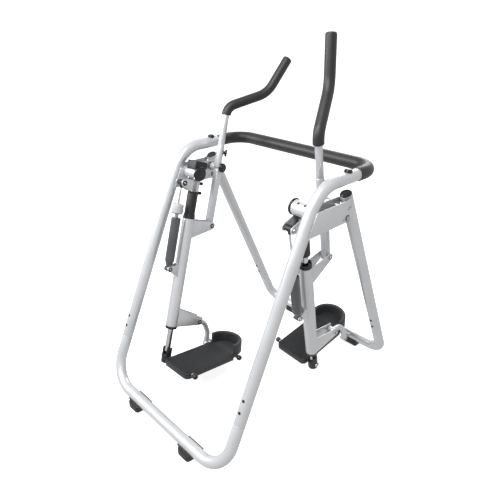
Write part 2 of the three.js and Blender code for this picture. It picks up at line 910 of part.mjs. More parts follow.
function pedalOutline(inset) {
  const toeRadius = (pedalInner - pedalOuter) / 2 - inset;
  const middle = -(pedalInner + pedalOuter) / 2;
  const toe = pedalFront - (pedalInner - pedalOuter) / 2;
  const rear = rounded([
    [middle + toeRadius, toe],
    [middle - toeRadius, toe],
    [middle - toeRadius, inset - pedalBack, pedalRearCorner - inset],
    [middle + toeRadius, inset - pedalBack, pedalRearCorner - inset],
  ]).slice(2);
  return [...rear, ...arc([middle, toe], toeRadius, 0, Math.PI, arcSteps + arcSteps)];
}

function pedal() {
  const bottom = pedalTop - pedalDepth;
  const body = slab(pedalOutline(0), bottom, pedalTop + cupHeight);
  const above = pedalTop + cupHeight + overrun;
  const cupInside = slab(pedalOutline(cupWall), pedalTop, above);
  const openRear = slab(
    rectangle(-pedalInner - overrun, -pedalOuter + overrun, -pedalBack - overrun, cupBack),
    pedalTop,
    above,
  );
  const underside = slab(pedalOutline(pedalSkirt), bottom - overrun, pedalTop - pedalTread);
  const holes = [[0, rearPinRadius], [pedalReach, frontPinRadius]].map(([forward, radius]) => (
    alongX(rod(-pedalInner - overrun, -pedalOuter + overrun, radius + runningFit, pinSides))
      .translate(0, forward, 0)
  ));
  return cut(body, cupInside, openRear, underside, ...holes);
}

// Pin across the pedal with a ball knob at its inner end and a nut at its outer end.
function pedalPin(radius, outerFace) {
  const middle = -pedalInner - knobOut;
  const start = Math.asin(radius / knobRadius);
  const ball = arc([middle, 0], knobRadius, Math.PI * 0.94, start, arcSteps);
  const nutStart = outerFace + clearance;
  return alongX(turned([
    ...ball,
    [nutStart, radius],
    [nutStart, nutRadius],
    [nutStart + nutHeight, nutRadius],
  ], pinSides));
}

// Hand lever: origin on its hub axis, arm down and handle up

function lever() {
  const hub = alongX(rod(-hubInner, hubOuter, hubRadius));
  const foot = -armLength - armTail;
  const half = armHalfWidth;
  const arm = slab(rectangle(-half, half, -half, half), foot, -leverAxleRadius);
  const inside = half - armWall;
  const hollow = slab(rectangle(-inside, inside, -inside, inside), foot - overrun, -hubRadius - armWall);
  const slotForward = pinRadius + slotPlayForward;
  const slotHeight = pinRadius + slotPlayHeight;
  const slotRound = slotHeight * slotRoundShare;
  const slot = plate(
    rectangle(-slotForward, slotForward, -armLength - slotHeight, -armLength + slotHeight, slotRound),
    -half - overrun,
    half + overrun,
  );
  const inSocket = (geometry) => alongZ(geometry).translate(-handleInward, -handleBack, 0);
  const socketBore = handleRadius + clearance;
  const socket = inSocket(rod(0, socketTop, socketBore + socketWall));
  const bore = inSocket(rod(handleStart - clearance, socketTop + overrun, socketBore));
  const axleBore = alongX(rod(-hubInner - overrun, hubOuter + overrun, leverAxleRadius + runningFit));
  const stemHole = rod(0, socketBore + socketWall + overrun, knobStemRadius + clearance, pinSides)
    .rotateZ(knobTurn)
    .translate(-handleInward, -handleBack, handleKnobRise);
  return cut(fuse(hub, arm, socket), hollow, slot, bore, axleBore, stemHole);
}

const handleCorners = [
  [-handleInward, -handleBack, handleStart],
  [-handleInward, -handleBack, handleKnee],
  [-handleInward - handleMidInward, handleMidForward - handleBack, handleKnee + handleMidRise],
  [
    -handleInward - handleMidInward - handleTipInward,
    handleMidForward + handleTipForward - handleBack,
    handleKnee + handleMidRise + handleTipRise,
  ],
];

function handleTube() {
  return bent(handleCorners, handleBend, handleRadius, handleRadius - handleWall, tubeSides, freeBoreSides);
}

// Foam from just below the first bend to past the end of the tube, with a closed round tip.
function grip() {
  const [base, knee, mid, tip] = handleCorners.map((corner) => new THREE.Vector3(...corner));
  const kneeTurn = knee.clone().sub(base).angleTo(mid.clone().sub(knee));
  const start = knee.z - handleBend * Math.tan(kneeTurn / 2) - gripLead;
  const heading = tip.clone().sub(mid).normalize();
  const radius = handleRadius + clearance + gripThickness;
  const end = tip.clone().addScaledVector(heading, gripEnd / 2);
  const sleeve = bent(
    [[base.x, base.y, start], handleCorners[1], handleCorners[2], end.toArray()],
    handleBend,
    radius,
    handleRadius + clearance,
  );
  const tipCap = turned(dome(gripDomeShares, gripEnd, radius)).translate(0, clearance, 0);
  return fuse(sleeve, aimed(tipCap, heading, tip));
}

function handleKnob() {
  const tubeFace = handleRadius + clearance;
  const socketFace = tubeFace + socketWall + clearance;
  return turned([
    [tubeFace, knobStemRadius],
    [socketFace, knobStemRadius],
    [socketFace, knobNeckRadius],
    [socketFace + knobNeck, knobNeckRadius],
    [socketFace + knobNeck, knobHeadRadius],
    [socketFace + knobNeck + knobHead, knobHeadRadius],
  ], pinSides).rotateZ(knobTurn).translate(-handleInward, -handleBack, handleKnobRise);
}

// Damper

function onDamper(geometry) {
  return alongZ(geometry).translate(0, -damperBack, 0);
}

function damperRod() {
  const eye = alongX(rod(-damperEyeHalfWidth, damperEyeHalfWidth, damperEyeRadius))
    .translate(0, -damperBack, -damperEyeDrop);
  const shaft = onDamper(rod(-damperRodEnd, -damperEyeDrop - pinRadius, damperRodRadius, pinSides));
  const bore = pinHole(damperEyeHalfWidth, pinRadius + runningFit, -damperBack, -damperEyeDrop);
  return cut(fuse(eye, shaft), bore);
}

function damperDrum() {
  const edge = drumRadius - damperEdge;
  return onDamper(ring([
    [drumBottom, edge], [drumBottom + damperEdge, drumRadius], [drumTop - damperEdge, drumRadius],
    [drumTop, edge], [drumTop, damperBore], [drumBottom, damperBore],
  ]));
}

function damperBody() {
  const eyeHalf = lugInner - clearance;
  const body = onDamper(turned([
    [-damperPinDrop, eyeHalf],
    [-damperPinDrop + lugNose + clearance, eyeHalf],
    [-damperTaper, damperRadius],
    [-damperEdge, damperRadius],
    [0, damperRadius - damperEdge],
    [0, damperNeckRadius],
    [drumBottom - clearance, damperNeckRadius],
  ]));
  const eye = alongX(rod(-eyeHalf, eyeHalf, lugNose)).translate(0, -damperBack, -damperPinDrop);
  const eyeBore = pinHole(eyeHalf, pinRadius + runningFit, -damperBack, -damperPinDrop);
  const bore = onDamper(rod(-damperBoreDepth, drumBottom + overrun, damperBore));
  return cut(fuse(body, eye), eyeBore, bore);
}

// Assembly

function group(name, place, ...children) {
  const holder = new THREE.Group();
  holder.name = name;
  holder.position.set(...place);
  holder.add(...children);
  return holder;
}

function sideGroup({ label, side, swing }) {
  const make = (name, geometry, material) => piece(`${label}_${name}`, geometry, material, side);
  const tubeGroup = group(
    `${label}_slide_place`,
    [0, 0, -slideAt(swing)],
    make('leg_tube', legTube(), silver),
    make('top_collar', topCollar(), plastic),
    make('bottom_collar', bottomCollar(), plastic),
    make('damper_drum', damperDrum(), drumPaint),
    make('damper_body', damperBody(), damperPaint),
    make('link', link().translate(0, linkPinForward, -linkPinDrop), silver),
  );

  const pedalGroup = group(
    `${label}_pedal_place`,
    [0, rodForward, -pedalPivotDrop],
    make('pedal', pedal(), tread),
    make('pin_rear', pedalPin(rearPinRadius, connectorRadius), steel),
    make('pin_front', pedalPin(frontPinRadius, linkFootHalfWidth).translate(0, pedalReach, 0), steel),
  );
  pedalGroup.rotation.x = pedalTurnAt(swing);

  const legGroup = group(
    `${label}_leg_place`,
    [0, 0, 0],
    make('hip_housing', hipHousing(), silver),
    make('hip_cap', domeCap(barrelInner, barrelRadius + capLip), plastic),
    make('slide_rod', onRod(rod(-rodBottom, -rodTop, rodRadius)), chrome),
    make('sleeve', onRod(pipe(-sleeveBottom, -sleeveTop, sleeveRadius, rodRadius + runningFit)), plastic),
    make('connector', connector(), plastic),
    make('damper_rod', damperRod(), chrome),
    tubeGroup,
    pedalGroup,
  );
  if (side < 0) {
    legGroup.add(piece('counter', counter(), plastic, side));
  }
  legGroup.rotation.x = swing;

  const leverGroup = group(
    `${label}_lever_place`,
    [0, leverForward, 0],
    make('lever', lever(), silver),
    make('hub_cap', domeCap(hubInner, hubRadius + capLip), plastic),
    make('handle_tube', handleTube(), silver),
    make('grip', grip(), foam),
    make('handle_knob', handleKnob(), plastic),
  );
  leverGroup.rotation.x = swing;

  const holder = group(`${label}_side`, [side * hipHalfSpacing, hipForward, hipHeight], legGroup, leverGroup);
  holder.rotation.y = side * lean;
  return holder;
}

const machine = new THREE.Group();
machine.name = 'walker';
machine.add(
  piece('lower_hoop', hoop(rearCorner, rearSeamPoint, upwards, rearBend), silver),
  piece('front_hoop', hoop(frontCorner, frontSeamPoint, legwards.clone().negate(), frontBend), silver),
  piece(
    'crossbar_tube',
    crossbar(crossbarRadius, crossbarRadius - crossbarWall, stubEndForward - crossbarStart, freeBoreSides),
    silver,
  ),
  piece(
    'crossbar_foam',
    crossbar(foamBore + foamThickness, foamBore, stubEndForward + clearance, tubeSides),
    foam,
  ),
);
for (const { label, side } of sides) {
  machine.add(
    piece(`${label}_upright`, upright(), silver, side),
    piece(`${label}_bracket`, bracket(), silver, side),
    piece(`${label}_stub_knob`, stubKnob(), plastic, side),
    piece(`${label}_front_leg`, frontLeg(), silver, side),
    piece(`${label}_leg_plug`, legPlug(), plastic, side),
    piece(
      `${label}_rear_foot`,
      foot(rearFootWidth, rearFootDepth, rearFootHeight, rearFootRim, rearFootRimHeight, rearFootSpacing, 0),
      plastic,
      side,
    ),
    piece(
      `${label}_front_foot`,
      foot(frontFootWidth, frontFootDepth, frontFootHeight, 0, footCorner, frontFootSpacing, frontBarForward),
      plastic,
      side,
    ),
  );
}
sides.forEach((entry) => machine.add(sideGroup(entry)));

const bounds = new THREE.Box3().setFromObject(machine, true);
const middle = bounds.getCenter(new THREE.Vector3());
machine.position.set(-middle.x, -middle.y, -bounds.min.z);

const root = new THREE.Group();
root.name = 'folding_walker';
root.add(machine);
root.updateMatrixWorld(true);

export default root;
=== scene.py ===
import logging
import math
from dataclasses import dataclass, field
from enum import Enum
from typing import Callable, ClassVar, Iterable, Sequence

import bmesh
import bpy
from mathutils import Matrix, Vector


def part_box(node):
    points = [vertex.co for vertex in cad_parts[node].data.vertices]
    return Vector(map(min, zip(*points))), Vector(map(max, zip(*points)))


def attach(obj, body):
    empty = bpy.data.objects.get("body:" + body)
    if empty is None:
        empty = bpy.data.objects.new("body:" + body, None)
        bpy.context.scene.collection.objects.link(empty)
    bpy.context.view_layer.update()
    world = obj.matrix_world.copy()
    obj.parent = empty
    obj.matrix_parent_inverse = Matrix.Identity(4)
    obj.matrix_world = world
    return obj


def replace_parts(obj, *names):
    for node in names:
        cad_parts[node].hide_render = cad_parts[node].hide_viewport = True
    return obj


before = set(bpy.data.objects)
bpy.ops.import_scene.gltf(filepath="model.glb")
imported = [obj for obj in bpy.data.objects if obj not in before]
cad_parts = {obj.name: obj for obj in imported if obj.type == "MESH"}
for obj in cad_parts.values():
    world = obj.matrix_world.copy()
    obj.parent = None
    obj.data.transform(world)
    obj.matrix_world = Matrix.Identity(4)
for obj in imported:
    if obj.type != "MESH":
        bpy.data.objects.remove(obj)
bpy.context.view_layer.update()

log = logging.getLogger("folding_walker")

MM = 0.001

# Turns that lay local Z along X, along Y or downwards, and one that lays an outline in (Y, Z).
TO_X = Matrix.Rotation(math.pi / 2, 4, "Y")
TO_Y = Matrix.Rotation(-math.pi / 2, 4, "X")
TO_DOWN = Matrix.Rotation(math.pi, 4, "X")
PLATE = Matrix(((0, 0, 1, 0), (1, 0, 0, 0), (0, 1, 0, 0), (0, 0, 0, 1)))

# A corner whose half angle is wider than this stays a plain point.
NEARLY_STRAIGHT = math.radians(84)
# The most of a run that the arc at one of its ends may use.
RUN_SHARE = 0.46
# Points closer than this, in millimetres, are one.
MERGE_MM = 0.0005
# Each step of a tube's bend turns by about this many degrees.
BEND_STEP = 6

# Turned shapes as (share of the height, share of the radius).
SCREW_SHAPE = ((-0.5, 1), (0.35, 1), (1, 0.62), (1, 0.42), (0.4, 0.38))
BOLT_SHAPE = ((0, 1), (0.5, 1), (1, 0.6), (0.8, 0.45))
DOME_SHAPE = ((0.02, 1), (0.45, 1), (0.75, 0.9), (0.62, 0.8), (0.66, 0.7), (0.92, 0.58), (1, 0.3))
KNOB_SHAPE = ((-1, 0.9), (0.05, 1), (0.5, 1), (0.86, 0.8), (1, 0.4))

Point = Sequence[float]
Pair = tuple[float, float]


class Side(Enum):
    """The two sides of the machine, with the sign of X for each."""

    LEFT = -1
    RIGHT = 1

    @property
    def label(self) -> str:
        """The word that starts the names of this side's pieces."""
        return self.name.lower()


# Finishes


def linear(hex_colour: str) -> tuple[float, float, float, float]:
    """Turns an sRGB hex colour to linear.

    Args:
        hex_colour: Six hex digits with or without a leading #.

    Returns:
        Red, green, blue and alpha for a Blender socket.
    """
    digits = hex_colour.lstrip("#")
    parts = [int(digits[i : i + 2], 16) / 255 for i in (0, 2, 4)]
    low = [c / 12.92 if c <= 0.04045 else ((c + 0.055) / 1.055) ** 2.4 for c in parts]
    return (low[0], low[1], low[2], 1.0)


def add_node(
    tree: bpy.types.NodeTree,
    kind: str,
    values: dict | None = None,
    links: dict | None = None,
    **settings: object,
) -> bpy.types.Node:
    """Adds one node to a material.

    Args:
        tree: The material's node tree.
        kind: The node's type name without its ShaderNode prefix.
        values: Socket name to a fixed value.
        links: Socket name to the output socket that feeds it.
        settings: Properties of the node itself.

    Returns:
        The new node.
    """
    made = tree.nodes.new(f"ShaderNode{kind}")
    for name, value in settings.items():
        setattr(made, name, value)
    for name, value in (values or {}).items():
        made.inputs[name].default_value = value
    for name, source in (links or {}).items():
        tree.links.new(source, made.inputs[name])
    return made


@dataclass(frozen=True)
class Finish:
    """A surface with two close colours in a grain or in flecks, uneven gloss and a shallow bump.

    The sizes of grain, clouds and flecks are real millimetres on the piece.
    """

    name: str
    slot: str
    colour: str
    shade: str
    roughness: Pair
    metallic: float = 0.0
    grain_mm: float = 0.8
    grain_depth_mm: float = 0.05
    cloud_mm: float = 60.0
    coat: float = 0.0
    sheen: float = 0.0
    detail: float = 3.0
    bump: float = 0.6
    coat_roughness: float = 0.15
    sheen_roughness: float = 0.5
    cloud_share: float = 0.5
    fleck_mm: float = 0.0
    fleck_detail: float = 1.0
    mix: Pair = (0.55, 0.95)

    def material(self) -> bpy.types.Material:
        """Returns the material, made on first use."""
        found = bpy.data.materials.get(self.name)
        if found is not None:
            return found
        made = bpy.data.materials.new(self.name)
        made.use_nodes = True
        tree = made.node_tree
        tree.nodes.clear()
        place = add_node(tree, "TexCoord").outputs["Object"]
        cloud, grain = (
            add_node(tree, "TexNoise", {"Scale": 1 / (size * MM), "Detail": self.detail}, {"Vector": place})
            for size in (self.cloud_mm, self.grain_mm)
        )
        gloss = add_node(
            tree,
            "MapRange",
            {"To Min": self.roughness[0], "To Max": self.roughness[1]},
            {"Value": cloud.outputs["Fac"]},
        )
        bump = add_node(
            tree,
            "Bump",
            {"Strength": self.bump, "Distance": self.grain_depth_mm * MM},
            {"Height": grain.outputs["Fac"]},
        )
        if self.fleck_mm:
            scale = {"Scale": 1 / (self.fleck_mm * MM), "Detail": self.fleck_detail}
            spread = add_node(tree, "TexNoise", scale, {"Vector": place}).outputs["Fac"]
        else:
            both = {0: cloud.outputs["Fac"], 2: grain.outputs["Fac"]}
            spread = add_node(tree, "Math", {1: self.cloud_share}, both, operation="MULTIPLY_ADD").outputs[0]
        ramp = add_node(tree, "ValToRGB", None, {"Fac": spread})
        for stop, position, colour in zip(ramp.color_ramp.elements, self.mix, (self.shade, self.colour)):
            stop.position = position
            stop.color = linear(colour)
        shader = add_node(
            tree,
            "BsdfPrincipled",
            {
                "Metallic": self.metallic,
                "Coat Weight": self.coat,
                "Coat Roughness": self.coat_roughness,
                "Sheen Weight": self.sheen,
                "Sheen Roughness": self.sheen_roughness,
            },
            {
                "Base Color": ramp.outputs["Color"],
                "Roughness": gloss.outputs["Result"],
                "Normal": bump.outputs["Normal"],
            },
        )
        add_node(tree, "OutputMaterial", None, {"Surface": shader.outputs["BSDF"]})
        return made


# Satin silver powder coat: fine orange peel and a soft metallic highlight along the tubes.
SILVER = Finish(
    "silver_powder_coat", "silver", "#cdcfd1", "#c0c2c5", (0.30, 0.38), 0.55, 1.2, 0.04, 90, coat=0.2
)
# Hard chrome: mirror-like with faint draw marks.
CHROME = Finish("hard_chrome", "chrome", "#d8dadc", "#c4c6c9", (0.06, 0.16), 1.0, 0.6, 0.01, 40)
# Zinc-plated turned steel: dull bright metal.
ZINC = Finish("zinc_plated_steel", "steel", "#b4b6b9", "#96989c", (0.22, 0.36), 1.0, 0.7, 0.03, 25)
# Black oxide screws: dark metal with a soft shine.
BLACK_OXIDE = Finish("black_oxide_steel", "steel", "#2c2d30", "#1c1d1f", (0.28, 0.4), 0.7, 0.6, 0.02, 20)
# Moulded black polypropylene: spark-eroded grain that breaks up the highlights.
PLASTIC = Finish("moulded_black_plastic", "plastic", "#191a1c", "#111214", (0.36, 0.5), 0.0, 0.9, 0.06, 50)
# Polished black plastic of the domed caps: smooth, with a clear highlight on each ring.
CAP = Finish("polished_black_plastic", "plastic", "#141416", "#0e0f10", (0.16, 0.26), 0.0, 1.4, 0.02, 40)
# Dark grey plastic panel of the counter: flat and matt beside its black cover.
PANEL = Finish("grey_panel_plastic", "plastic", "#2c2f31", "#232628", (0.5, 0.6), 0.0, 0.8, 0.03, 30)
# Closed-cell foam with a drawn skin: small pores and a wide soft highlight along the bar.
FOAM = Finish("closed_cell_foam", "foam", "#1a1a1d", "#0e0e10", (0.4, 0.54), 0.0, 1.7, 0.25, 30, sheen=0.1)
# Moulded anti-slip rubber of the footbeds: matt, with a pale bloom at grazing angles.
TREAD = Finish("anti_slip_rubber", "tread", "#222528", "#17191c", (0.5, 0.66), 0.0, 1.0, 0.08, 40, sheen=0.1)
# Semi-gloss grey-black enamel of the damper tube: a long even highlight.
ENAMEL = Finish(
    "black_enamel", "damper_paint", "#56585b", "#46484b", (0.2, 0.3), 0.5, 1.5, 0.02, 60, coat=0.4
)
# Hammered grey paint of the drum: pale with hard-edged dark flecks that catch the eye from near.
HAMMER = Finish(
    "speckled_grey_paint", "drum_paint", "#c8cacd", "#8b8d91", (0.3, 0.42), 0.3, 1.5, 0.12, 30,
    fleck_mm=1.6, mix=(0.42, 0.54),
)


# Mesh building


def filleted(points: Iterable[Point], radius: float, closed: bool = False, steps: int = 4) -> list[Pair]:
    """Turns the corners of a line or outline into arcs.

    Args:
        points: Corners as (first, second), or (first, second, own radius).
        radius: Corner radius where a corner has none of its own.
        closed: True for an outline that joins its last corner to its first.
        steps: Arc steps at each corner.

    Returns:
        The softened points.
    """
    corners = [tuple(p) for p in points]
    count = len(corners)
    soft: list[Pair] = []
    for i, corner in enumerate(corners):
        middle = Vector(corner[:2])
        own = corner[2] if len(corner) > 2 else radius
        if own <= 0 or (not closed and i in (0, count - 1)):
            soft.append((middle.x, middle.y))
            continue
        back = Vector(corners[i - 1][:2]) - middle
        ahead = Vector(corners[(i + 1) % count][:2]) - middle
        half = back.angle(ahead) / 2
        if half > NEARLY_STRAIGHT:
            soft.append((middle.x, middle.y))
            continue
        reach = min(own / math.tan(half), RUN_SHARE * back.length, RUN_SHARE * ahead.length)
        bow = reach * math.tan(half)
        centre = middle + (back.normalized() + ahead.normalized()).normalized() * (bow / math.sin(half))
        start = middle + back.normalized() * reach - centre
        end = middle + ahead.normalized() * reach - centre
        turn = math.atan2(start.x * end.y - start.y * end.x, start.dot(end))
        for step in range(steps + 1):
            spoke = Matrix.Rotation(turn * step / steps, 2) @ start
            soft.append((centre.x + spoke.x, centre.y + spoke.y))
    return soft


def arc(centre: Point, radius: float, start: float, end: float, steps: int = 12) -> list[Pair]:
    """Points round a centre, with angles in degrees."""
    angles = [math.radians(start + (end - start) * i / steps) for i in range(steps + 1)]
    return [(centre[0] + radius * math.cos(a), centre[1] + radius * math.sin(a)) for a in angles]


def box_outline(left: float, right: float, bottom: float, top: float) -> list[Pair]:
    """The four corners of a rectangle."""
    return [(left, bottom), (right, bottom), (right, top), (left, top)]


def ring_profile(low: float, high: float, bore: float, radius: float) -> list[Pair]:
    """A plain ring's profile as (height, radius) points."""
    return [(low, radius), (high, radius), (high, bore), (low, bore)]


def scaled(shape: Iterable[Point], height: float, radius: float) -> list[Point]:
    """A turned shape's profile at a real height and radius."""
    return [(height * rise, radius * reach) for rise, reach in shape]


def shifted(x: float = 0, y: float = 0, z: float = 0) -> Matrix:
    """A move in millimetres."""
    return Matrix.Translation((x, y, z))


def aimed(start: Point, direction: Point) -> Matrix:
    """A place at a point with its Z axis in a direction."""
    turn = Vector(direction).to_track_quat("Z", "Y").to_matrix().to_4x4()
    return Matrix.Translation(start) @ turn


def along(start: Point, end: Point, distance: float) -> Pair:
    """The point a distance from one plane point towards another."""
    found = Vector(start) + (Vector(end) - Vector(start)).normalized() * distance
    return (found.x, found.y)


def turned_shell(profile: Sequence[Point], steps: int, ring: bool = False) -> bmesh.types.BMesh:
    """Turns a profile round the Z axis.

    Args:
        profile: (height, radius) points.
        steps: Steps round the axis.
        ring: True where the profile closes on itself.

    Returns:
        The shell.
    """
    part = bmesh.new()
    verts = [part.verts.new((radius, 0, height)) for height, radius in profile]
    pairs = list(zip(verts, verts[1:])) + ([(verts[-1], verts[0])] if ring else [])
    whole = verts + [part.edges.new(pair) for pair in pairs]
    bmesh.ops.spin(
        part, geom=whole, cent=(0, 0, 0), axis=(0, 0, 1), angle=2 * math.pi, steps=steps, use_merge=True
    )
    return part


class Solid:
    """One piece under construction, in millimetres in its own frame."""

    sharp = math.radians(30)

    def __init__(self) -> None:
        """Starts with an empty mesh."""
        self.mesh = bmesh.new()

    def take(self, part: bmesh.types.BMesh, place: Matrix) -> "Solid":
        """Adds a finished closed shell to the piece.

        Args:
            part: The shell, which is used up.
            place: Where it goes in the piece's frame.

        Returns:
            The piece, so that calls can follow each other.
        """
        bmesh.ops.recalc_face_normals(part, faces=part.faces)
        bmesh.ops.transform(part, matrix=place, verts=part.verts)
        if place.determinant() < 0:
            bmesh.ops.reverse_faces(part, faces=part.faces)
        scratch = bpy.data.meshes.new("scratch")
        part.to_mesh(scratch)
        part.free()
        self.mesh.from_mesh(scratch)
        bpy.data.meshes.remove(scratch)
        return self

    @staticmethod
    def bevel(
        part: bmesh.types.BMesh, edges: list[bmesh.types.BMEdge], width: float, segments: int, clamp: bool
    ) -> None:
        """Rounds some edges of a shell.

        Args:
            part: The shell.
            edges: The edges to round.
            width: Width of the rounding.
            segments: Steps of the rounding.
            clamp: True to hold it back where two roundings would meet.
        """
        bmesh.ops.bevel(
            part,
            geom=edges,
            offset=width,
            offset_type="OFFSET",
            affect="EDGES",
            segments=segments,
            profile=0.5,
            material=-1,
            clamp_overlap=clamp,
        )

    def lathe(
        self,
        profile: Sequence[Point],
        place: Matrix = Matrix(),
        edge: float = 0.8,
        steps: int = 40,
        ring: bool = False,
    ) -> "Solid":
        """Turns a profile round the local Z axis.

        Args:
            profile: (height, radius) points, or (height, radius, own corner radius).
            place: Where it goes.
            edge: Corner radius of the profile.
            steps: Steps round the axis.
            ring: True where the profile closes on itself instead of on the axis.

        Returns:
            The piece.
        """
        points = list(profile)
        if not ring:
            points = [(points[0][0], 0), *points, (points[-1][0], 0)]
        part = turned_shell(filleted(points, edge, ring, 3), steps, ring)
        bmesh.ops.remove_doubles(part, verts=part.verts, dist=MERGE_MM)
        bmesh.ops.dissolve_degenerate(part, edges=part.edges, dist=MERGE_MM)
        return self.take(part, place)

    def rod(
        self,
        start: float,
        end: float,
        radius: float,
        place: Matrix = Matrix(),
        edge: float = 0.8,
        steps: int = 40,
    ) -> "Solid":
        """A round bar between two heights on the local Z axis."""
        return self.lathe([(start, radius), (end, radius)], place, edge, steps)

    def prism(
        self,
        outline: Sequence[Point],
        start: float,
        end: float,
        place: Matrix = Matrix(),
        edge: float = 0.8,
        corner: float = 0,
        segments: int = 2,
    ) -> "Solid":
        """Extrudes an outline in local XY between two heights.

        Args:
            outline: Corners of the outline.
            start: Lower height.
            end: Upper height.
            place: Where it goes.
            edge: Rounding of its edges.
            corner: Corner radius of the outline.
            segments: Steps of the edge rounding.

        Returns:
            The piece.
        """
        part = bmesh.new()
        verts = [part.verts.new((a, b, start)) for a, b in filleted(outline, corner, True)]
        base = part.faces.new(verts)
        raised = bmesh.ops.extrude_face_region(part, geom=[base])["geom"]
        tops = [v for v in raised if isinstance(v, bmesh.types.BMVert)]
        bmesh.ops.translate(part, verts=tops, vec=(0, 0, end - start))
        bmesh.ops.recalc_face_normals(part, faces=part.faces)
        edges = [e for e in part.edges if len(e.link_faces) == 2 and e.calc_face_angle(0) > self.sharp]
        self.bevel(part, edges, edge, segments, clamp=True)
        return self.take(part, place)

    def plate_pair(self, outline: Sequence[Point], inner: float, sheet: float, edge: float) -> None:
        """Two plates with an outline in (Y, Z), their inner faces a distance from the middle."""
        for start in (-inner - sheet, inner):
            self.prism(outline, start, start + sheet, PLATE, edge)

    def tube(
        self,
        corners: Sequence[Point],
        bend: float | tuple[float, ...],
        radius: float,
        place: Matrix = Matrix(),
        end_edge: float = 1.0,
        sides: int = 40,
        end_steps: int = 3,
    ) -> "Solid":
        """Sweeps a round section along straight runs joined by bends.

        Args:
            corners: The corner points of the centreline.
            bend: Bend radius of the centreline, one for all corners or one for each.
            radius: Radius of the section.
            place: Where it goes.
            end_edge: Rounding at the two ends.
            sides: Sides of the section.
            end_steps: Steps of that rounding.

        Returns:
            The piece.
        """
        points = [Vector(c) for c in corners]
        runs = [(b - a).normalized() for a, b in zip(points, points[1:])]
        part = bmesh.new()
        bmesh.ops.create_circle(
            part, cap_ends=True, radius=radius, segments=sides, matrix=aimed(points[0], runs[0])
        )
        edges = list(part.edges)
        reached = points[0]
        bends = bend if isinstance(bend, tuple) else (bend,) * len(runs)
        for corner, before, after, curve in zip(points[1:-1], runs, runs[1:], bends):
            turn = before.angle(after)
            start = corner - before * (curve * math.tan(turn / 2))
            edges = self.extend(part, edges, start - reached)
            inward = (after - before * before.dot(after)).normalized()
            spun = bmesh.ops.spin(
                part,
                geom=edges,
                cent=start + inward * curve,
                axis=before.cross(after),
                angle=turn,
                steps=max(3, math.ceil(math.degrees(turn) / BEND_STEP)),
            )
            edges = [g for g in spun["geom_last"] if isinstance(g, bmesh.types.BMEdge)]
            reached = corner + after * (curve * math.tan(turn / 2))
        edges = self.extend(part, edges, points[-1] - reached)
        bmesh.ops.contextual_create(part, geom=edges)
        rims = {e for f in part.faces if len(f.verts) == sides for e in f.edges}
        self.bevel(part, list(rims), end_edge, end_steps, clamp=False)
        return self.take(part, place)

    @staticmethod
    def extend(part: bmesh.types.BMesh, edges: list[bmesh.types.BMEdge], move: Vector) -> list:
        """Extrudes a loop of edges.

        Args:
            part: The shell that holds the loop.
            edges: The loop.
            move: How far it goes.

        Returns:
            The new loop.
        """
        made = bmesh.ops.extrude_edge_only(part, edges=edges)["geom"]
        bmesh.ops.translate(part, verts=[g for g in made if isinstance(g, bmesh.types.BMVert)], vec=move)
        return [g for g in made if isinstance(g, bmesh.types.BMEdge) and all(v in made for v in g.verts)]

    def screw(self, radius: float, height: float, place: Matrix) -> "Solid":
        """A button-head screw with a socket, standing on the local XY plane."""
        return self.lathe(scaled(SCREW_SHAPE, height, radius), place, edge=0.3, steps=24)

    def bolt_head(self, radius: float, height: float, place: Matrix) -> "Solid":
        """A domed bolt head with a shallow recess, standing on the local XY plane."""
        return self.lathe(scaled(BOLT_SHAPE, height, radius), place, edge=0.5, steps=24)

    def hex_nut(self, radius: float, height: float, place: Matrix) -> "Solid":
        """A hexagon nut standing on the local XY plane."""
        return self.prism(arc((0, 0), radius, 0, 300, 5), 0, height, place, edge=0.5)

    def show(
        self, name: str, finish: Finish, body: str, place: Matrix, replaces: Sequence[str] = ()
    ) -> bpy.types.Object:
        """Makes the piece's object and hangs it on its body.

        Args:
            name: The piece's name.
            finish: Its surface.
            body: The CAD body that it rides on.
            place: From the piece's millimetres to the row frame.
            replaces: The CAD nodes that it stands for.

        Returns:
            The object.
        """
        bmesh.ops.transform(self.mesh, matrix=place, verts=self.mesh.verts)
        if place.determinant() < 0:
            bmesh.ops.reverse_faces(self.mesh, faces=self.mesh.faces)
        for face in self.mesh.faces:
            face.smooth = True
        for edge in self.mesh.edges:
            edge.smooth = len(edge.link_faces) == 2 and edge.calc_face_angle(0) < self.sharp
        mesh = bpy.data.meshes.new(name)
        self.mesh.to_mesh(mesh)
        self.mesh.free()
        mesh.materials.append(finish.material())
        made = bpy.data.objects.new(name, mesh)
        bpy.context.scene.collection.objects.link(made)
        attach(made, body)
        if replaces:
            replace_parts(made, *replaces)
        log.info("%s: %d faces on %s", name, len(mesh.polygons), body)
        return made


@dataclass(frozen=True)
class CrossBolt:
    """A bolt through two plates: washer and domed head on the inner side, nut on the outer side."""

    radius: float = 12.0
    washer: float = 2.2
    head: float = 5.5
    head_height: float = 3.0
    nut: float = 9.5
    nut_height: float = 5.5
    flange: float = 1.2
    flange_lap: float = 1.5

    def build(self, black: Solid, bright: Solid, place: Matrix, half: float) -> None:
        """Adds the dark and the bright pieces of the bolt.

        Args:
            black: Takes the washer.
            bright: Takes the head and the nut.
            place: The bolt's middle, with Z along it and towards the outer side.
            half: Distance from the middle to the plates' outer faces.
        """
        inner = place @ shifted(z=-half) @ TO_DOWN
        outer = place @ shifted(z=half)
        black.rod(0, self.washer, self.radius, inner, steps=32)
        bright.bolt_head(self.head, self.washer + self.head_height, inner)
        bright.rod(0, self.flange, self.nut + self.flange_lap, outer, edge=0.4, steps=32)
        bright.hex_nut(self.nut, self.nut_height, outer)


# Shared places


